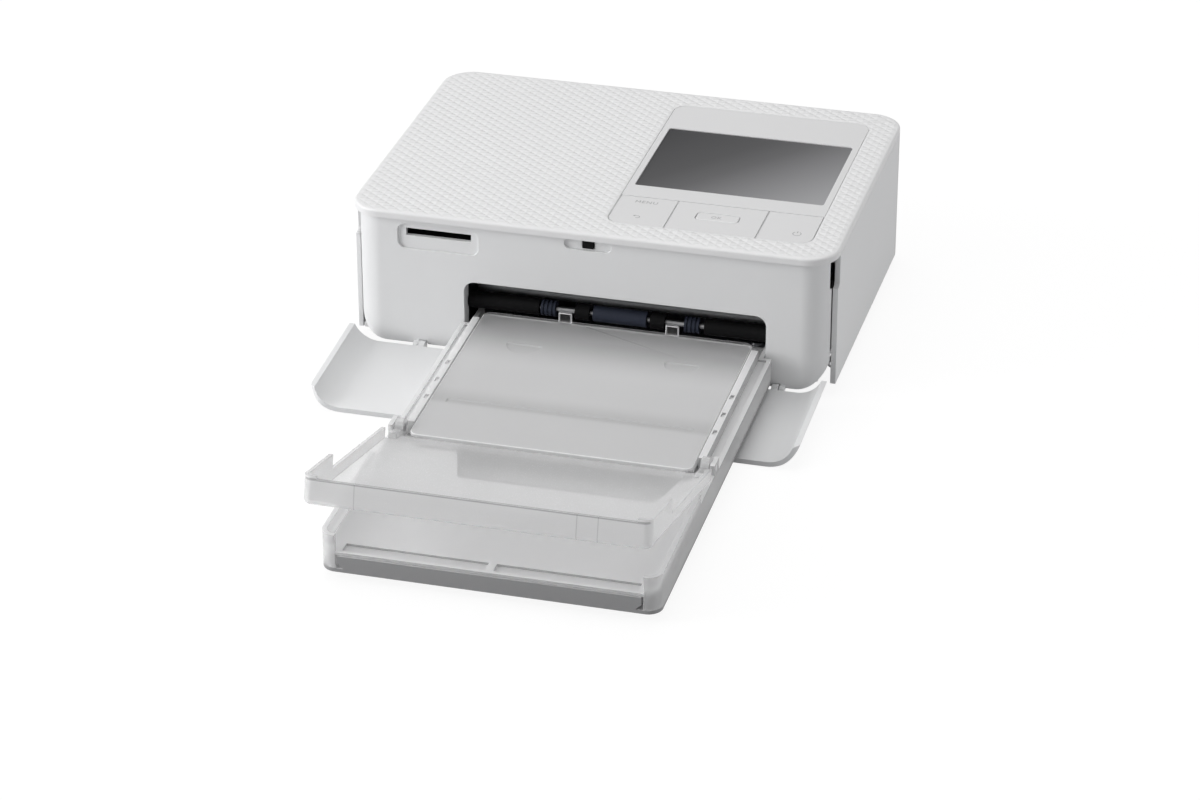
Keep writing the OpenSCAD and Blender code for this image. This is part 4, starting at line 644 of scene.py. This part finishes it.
def slot_web(finish):
    """The web that closes each slot behind the cassette's front ledge, below its top. It
    is laid out flat and then tilted with the cassette, about its front edge."""
    rise, run, front_y = 0.00318, 0.1655, -0.230
    front = (cassette_middle, front_y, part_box("lower_tray")[0].z)
    slot_l, slot_d, slot_in, rib, bite = 0.0496, 0.0046, 0.002, 0.0014, 0.0001
    web_t, web_top, web_edge = 0.0005, 0.0067, 0.0001
    work = bmesh.new()
    for left in (-rib - slot_l, rib):
        block_on(work, (left - bite, slot_in - bite, web_top - web_t),
                 (left + slot_l + bite, slot_in + slot_d + bite, web_top))
    break_edges(work, web_edge)
    bmesh.ops.rotate(work, cent=(0, 0, 0), verts=work.verts,
                     matrix=Matrix.Rotation(math.atan(rise / run), 3, "X"))
    bmesh.ops.translate(work, vec=front, verts=work.verts)
    formed("slot_web", work, finish, "cassette")


def tray_finish():
    """Grey plastic whose faces that face up are painted paler, as painted light."""
    sloping, lying = 0.5, 0.95
    finish = plastic("tray_grey", (0.31, 0.31, 0.315), (0.34, 0.34, 0.345), 0.5)
    tree = finish.node_tree
    facing = added(tree, "ShaderNodeNewGeometry", {}).outputs["Normal"]
    # Painted light: faces that face up are painted paler than the rest.
    painted_light_up = graded(tree, axis_of(tree, facing, "Z"), sloping, lying)
    tinted(finish, painted_light_up, (0.66, 0.66, 0.665))
    return finish


def dress_cover(panel):
    """Shades the inner cover's broad faces flat, and keeps the painted edge highlight off the
    groove and the finger marks in its middle, which get the material of the faces around them."""
    broad, marks_front, marks_back, marks_half_w = 0.0005, -0.140, -0.075, 0.046
    for face in panel.data.polygons:
        face.use_smooth = face.area < broad
        beside = abs(face.center.x - cassette_middle)
        if marks_front < face.center.y < marks_back and beside < marks_half_w:
            face.material_index = 0


body_finish = frosted_body()
# Painted highlight: the inner cover's eased edges are a brighter, opaque white.
cover_edge_highlight = plastic("frosted_cover_painted_highlight", (0.84, 0.84, 0.845), (0.86, 0.86, 0.865), 0.3,
                     grain=3200, depth=0.000006)
# Painted shade: the lid's eased edges are painted dark, a shade line along each edge.
lid_edge_shade = milky("frosted_lid_painted_edge_shade", (0.42, 0.42, 0.425), 0.85, (0.50, 0.50, 0.505), 0.70, 0.25)
eased("cassette_body", "cassette", body_finish)
slot_web(body_finish)
dress_cover(eased("inner_cover", "cassette", frosted_cover(),
                  edge_painted_light=cover_edge_highlight, outer_only=True))
eased("outer_lid", "outer_lid", frosted_lid(), edge_painted_light=lid_edge_shade)
eased("lower_tray", "cassette", tray_finish())


# ---------------------------------------------------------------- rollers
# Navy rubber tyres on a bright shaft pull the paper from the cassette; the outer two
# have turned grooves. The pinch and platen rollers behind them and the feet under the
# base are black rubber.

rubber_navy = plastic("rubber_navy", (0.012, 0.017, 0.034), (0.018, 0.024, 0.045), 0.75,
                      grain=1800, depth=0.00006)
rubber_black = plastic("rubber_black", (0.018, 0.018, 0.019), (0.026, 0.026, 0.027), 0.65,
                       grain=1800, depth=0.00004)
finish_nodes(rubber_navy, "pickup_rollers")
finish_nodes(rubber_black, "pinch_roller", "platen_roller", "feet")


# ---------------------------------------------------------------- metal parts
# Bright zinc-plated sheet for the chassis, brackets and cans, turned steel for shafts,
# pins and screws, an aluminium print head and a brass pinion, all faintly brushed.

def metal(name, colour, roughness, packing):
    """Brushed metal. packing is how closely its grain lies along each axis, so that its
    lines run across the axis with the closest grain."""
    grain, depth, smoother, rougher = 900, 0.00001, 0.06, 0.10
    darker = tuple(tone * 0.9 for tone in colour)
    finish, tree = blank_finish(name)
    place = added(tree, "ShaderNodeTexCoord", {}).outputs["Object"]
    packed = added(tree, "ShaderNodeMapping", {"Vector": place, "Scale": packing})
    lines = added(tree, "ShaderNodeTexNoise", {
        "Vector": packed.outputs["Vector"], "Scale": grain, "Detail": 4}).outputs["Fac"]
    bump = added(tree, "ShaderNodeBump", {"Height": lines, "Strength": 0.3, "Distance": depth})
    fed(tree, tree.nodes["Principled BSDF"], {
        "Metallic": 1.0, "Base Color": mixed(tree, lines, (*darker, 1), (*colour, 1)),
        "Roughness": graded(tree, lines, first=roughness - smoother, last=roughness + rougher),
        "Normal": bump.outputs["Normal"]})
    return finish


finish_nodes(metal("zinc_sheet", (0.62, 0.63, 0.64), 0.38, (1, 1, 12)),
             "chassis", "head_bracket", "motor_bracket", "lift_plate", "display_module",
             "motor", "usb_port")
finish_nodes(metal("turned_steel", (0.68, 0.68, 0.69), 0.28, (14, 1, 1)),
             "door_pins", "cover_pins", "lid_pins", "lever_pin", "idler_post",
             "head_springs", "screws", "feed_roller", "pickup_shaft")
finish_nodes(metal("head_aluminium", (0.72, 0.73, 0.74), 0.35, (1, 10, 1)), "thermal_head")
finish_nodes(metal("pinion_brass", (0.72, 0.52, 0.22), 0.3, (10, 1, 1)), "motor_pinion")


# ---------------------------------------------------------------- dark mouldings
# The liner round the cassette opening, the inlet, the card reader, the shaft collars and
# the cover's catch are moulded in matt black ABS. The ink cartridge is a dark grey shell
# with two spools, between which a thin dyed ribbon is wound.

bay_black = plastic("bay_black", (0.0035, 0.0035, 0.004), (0.006, 0.006, 0.0065), 0.7)
bay_black.node_tree.nodes["Principled BSDF"].inputs["Specular IOR Level"].default_value = 0.15
ink_grey = plastic("ink_grey", (0.035, 0.036, 0.038), (0.045, 0.046, 0.048), 0.5)
ribbon_film = plastic("ribbon_film", (0.05, 0.02, 0.12), (0.07, 0.03, 0.15), 0.2,
                      grain=4000, depth=0.000004)
finish_nodes(bay_black, "bay_liner", "power_inlet", "cover_catch", "shaft_collars",
             "card_reader")
finish_nodes(ink_grey, "ink_shell", "supply_spool", "takeup_spool")
finish_nodes(ribbon_film, "ribbon")


# ---------------------------------------------------------------- gears and bushes
# Gears, bushes and the cartridge's eject lever are moulded in acetal, off-white and
# slightly waxy. The bushes are pressed into the chassis and carry the shafts.

acetal = plastic("acetal", (0.72, 0.71, 0.66), (0.78, 0.77, 0.72), 0.38,
                 grain=1600, depth=0.00001)
finish_nodes(acetal, "bushes", "idler_gear", "feed_gear", "pickup_gear", "takeup_gear",
             "eject_lever")


# ---------------------------------------------------------------- circuit boards
# Green solder resist over woven glass laminate, with the weave just showing. The main
# board lies on the base pan's bosses, and the key board hangs under the top cover.

board_green = plastic("board_green", (0.012, 0.10, 0.045), (0.018, 0.13, 0.06), 0.35,
                      grain=900, depth=0.00002)
finish_nodes(board_green, "main_board", "key_board")
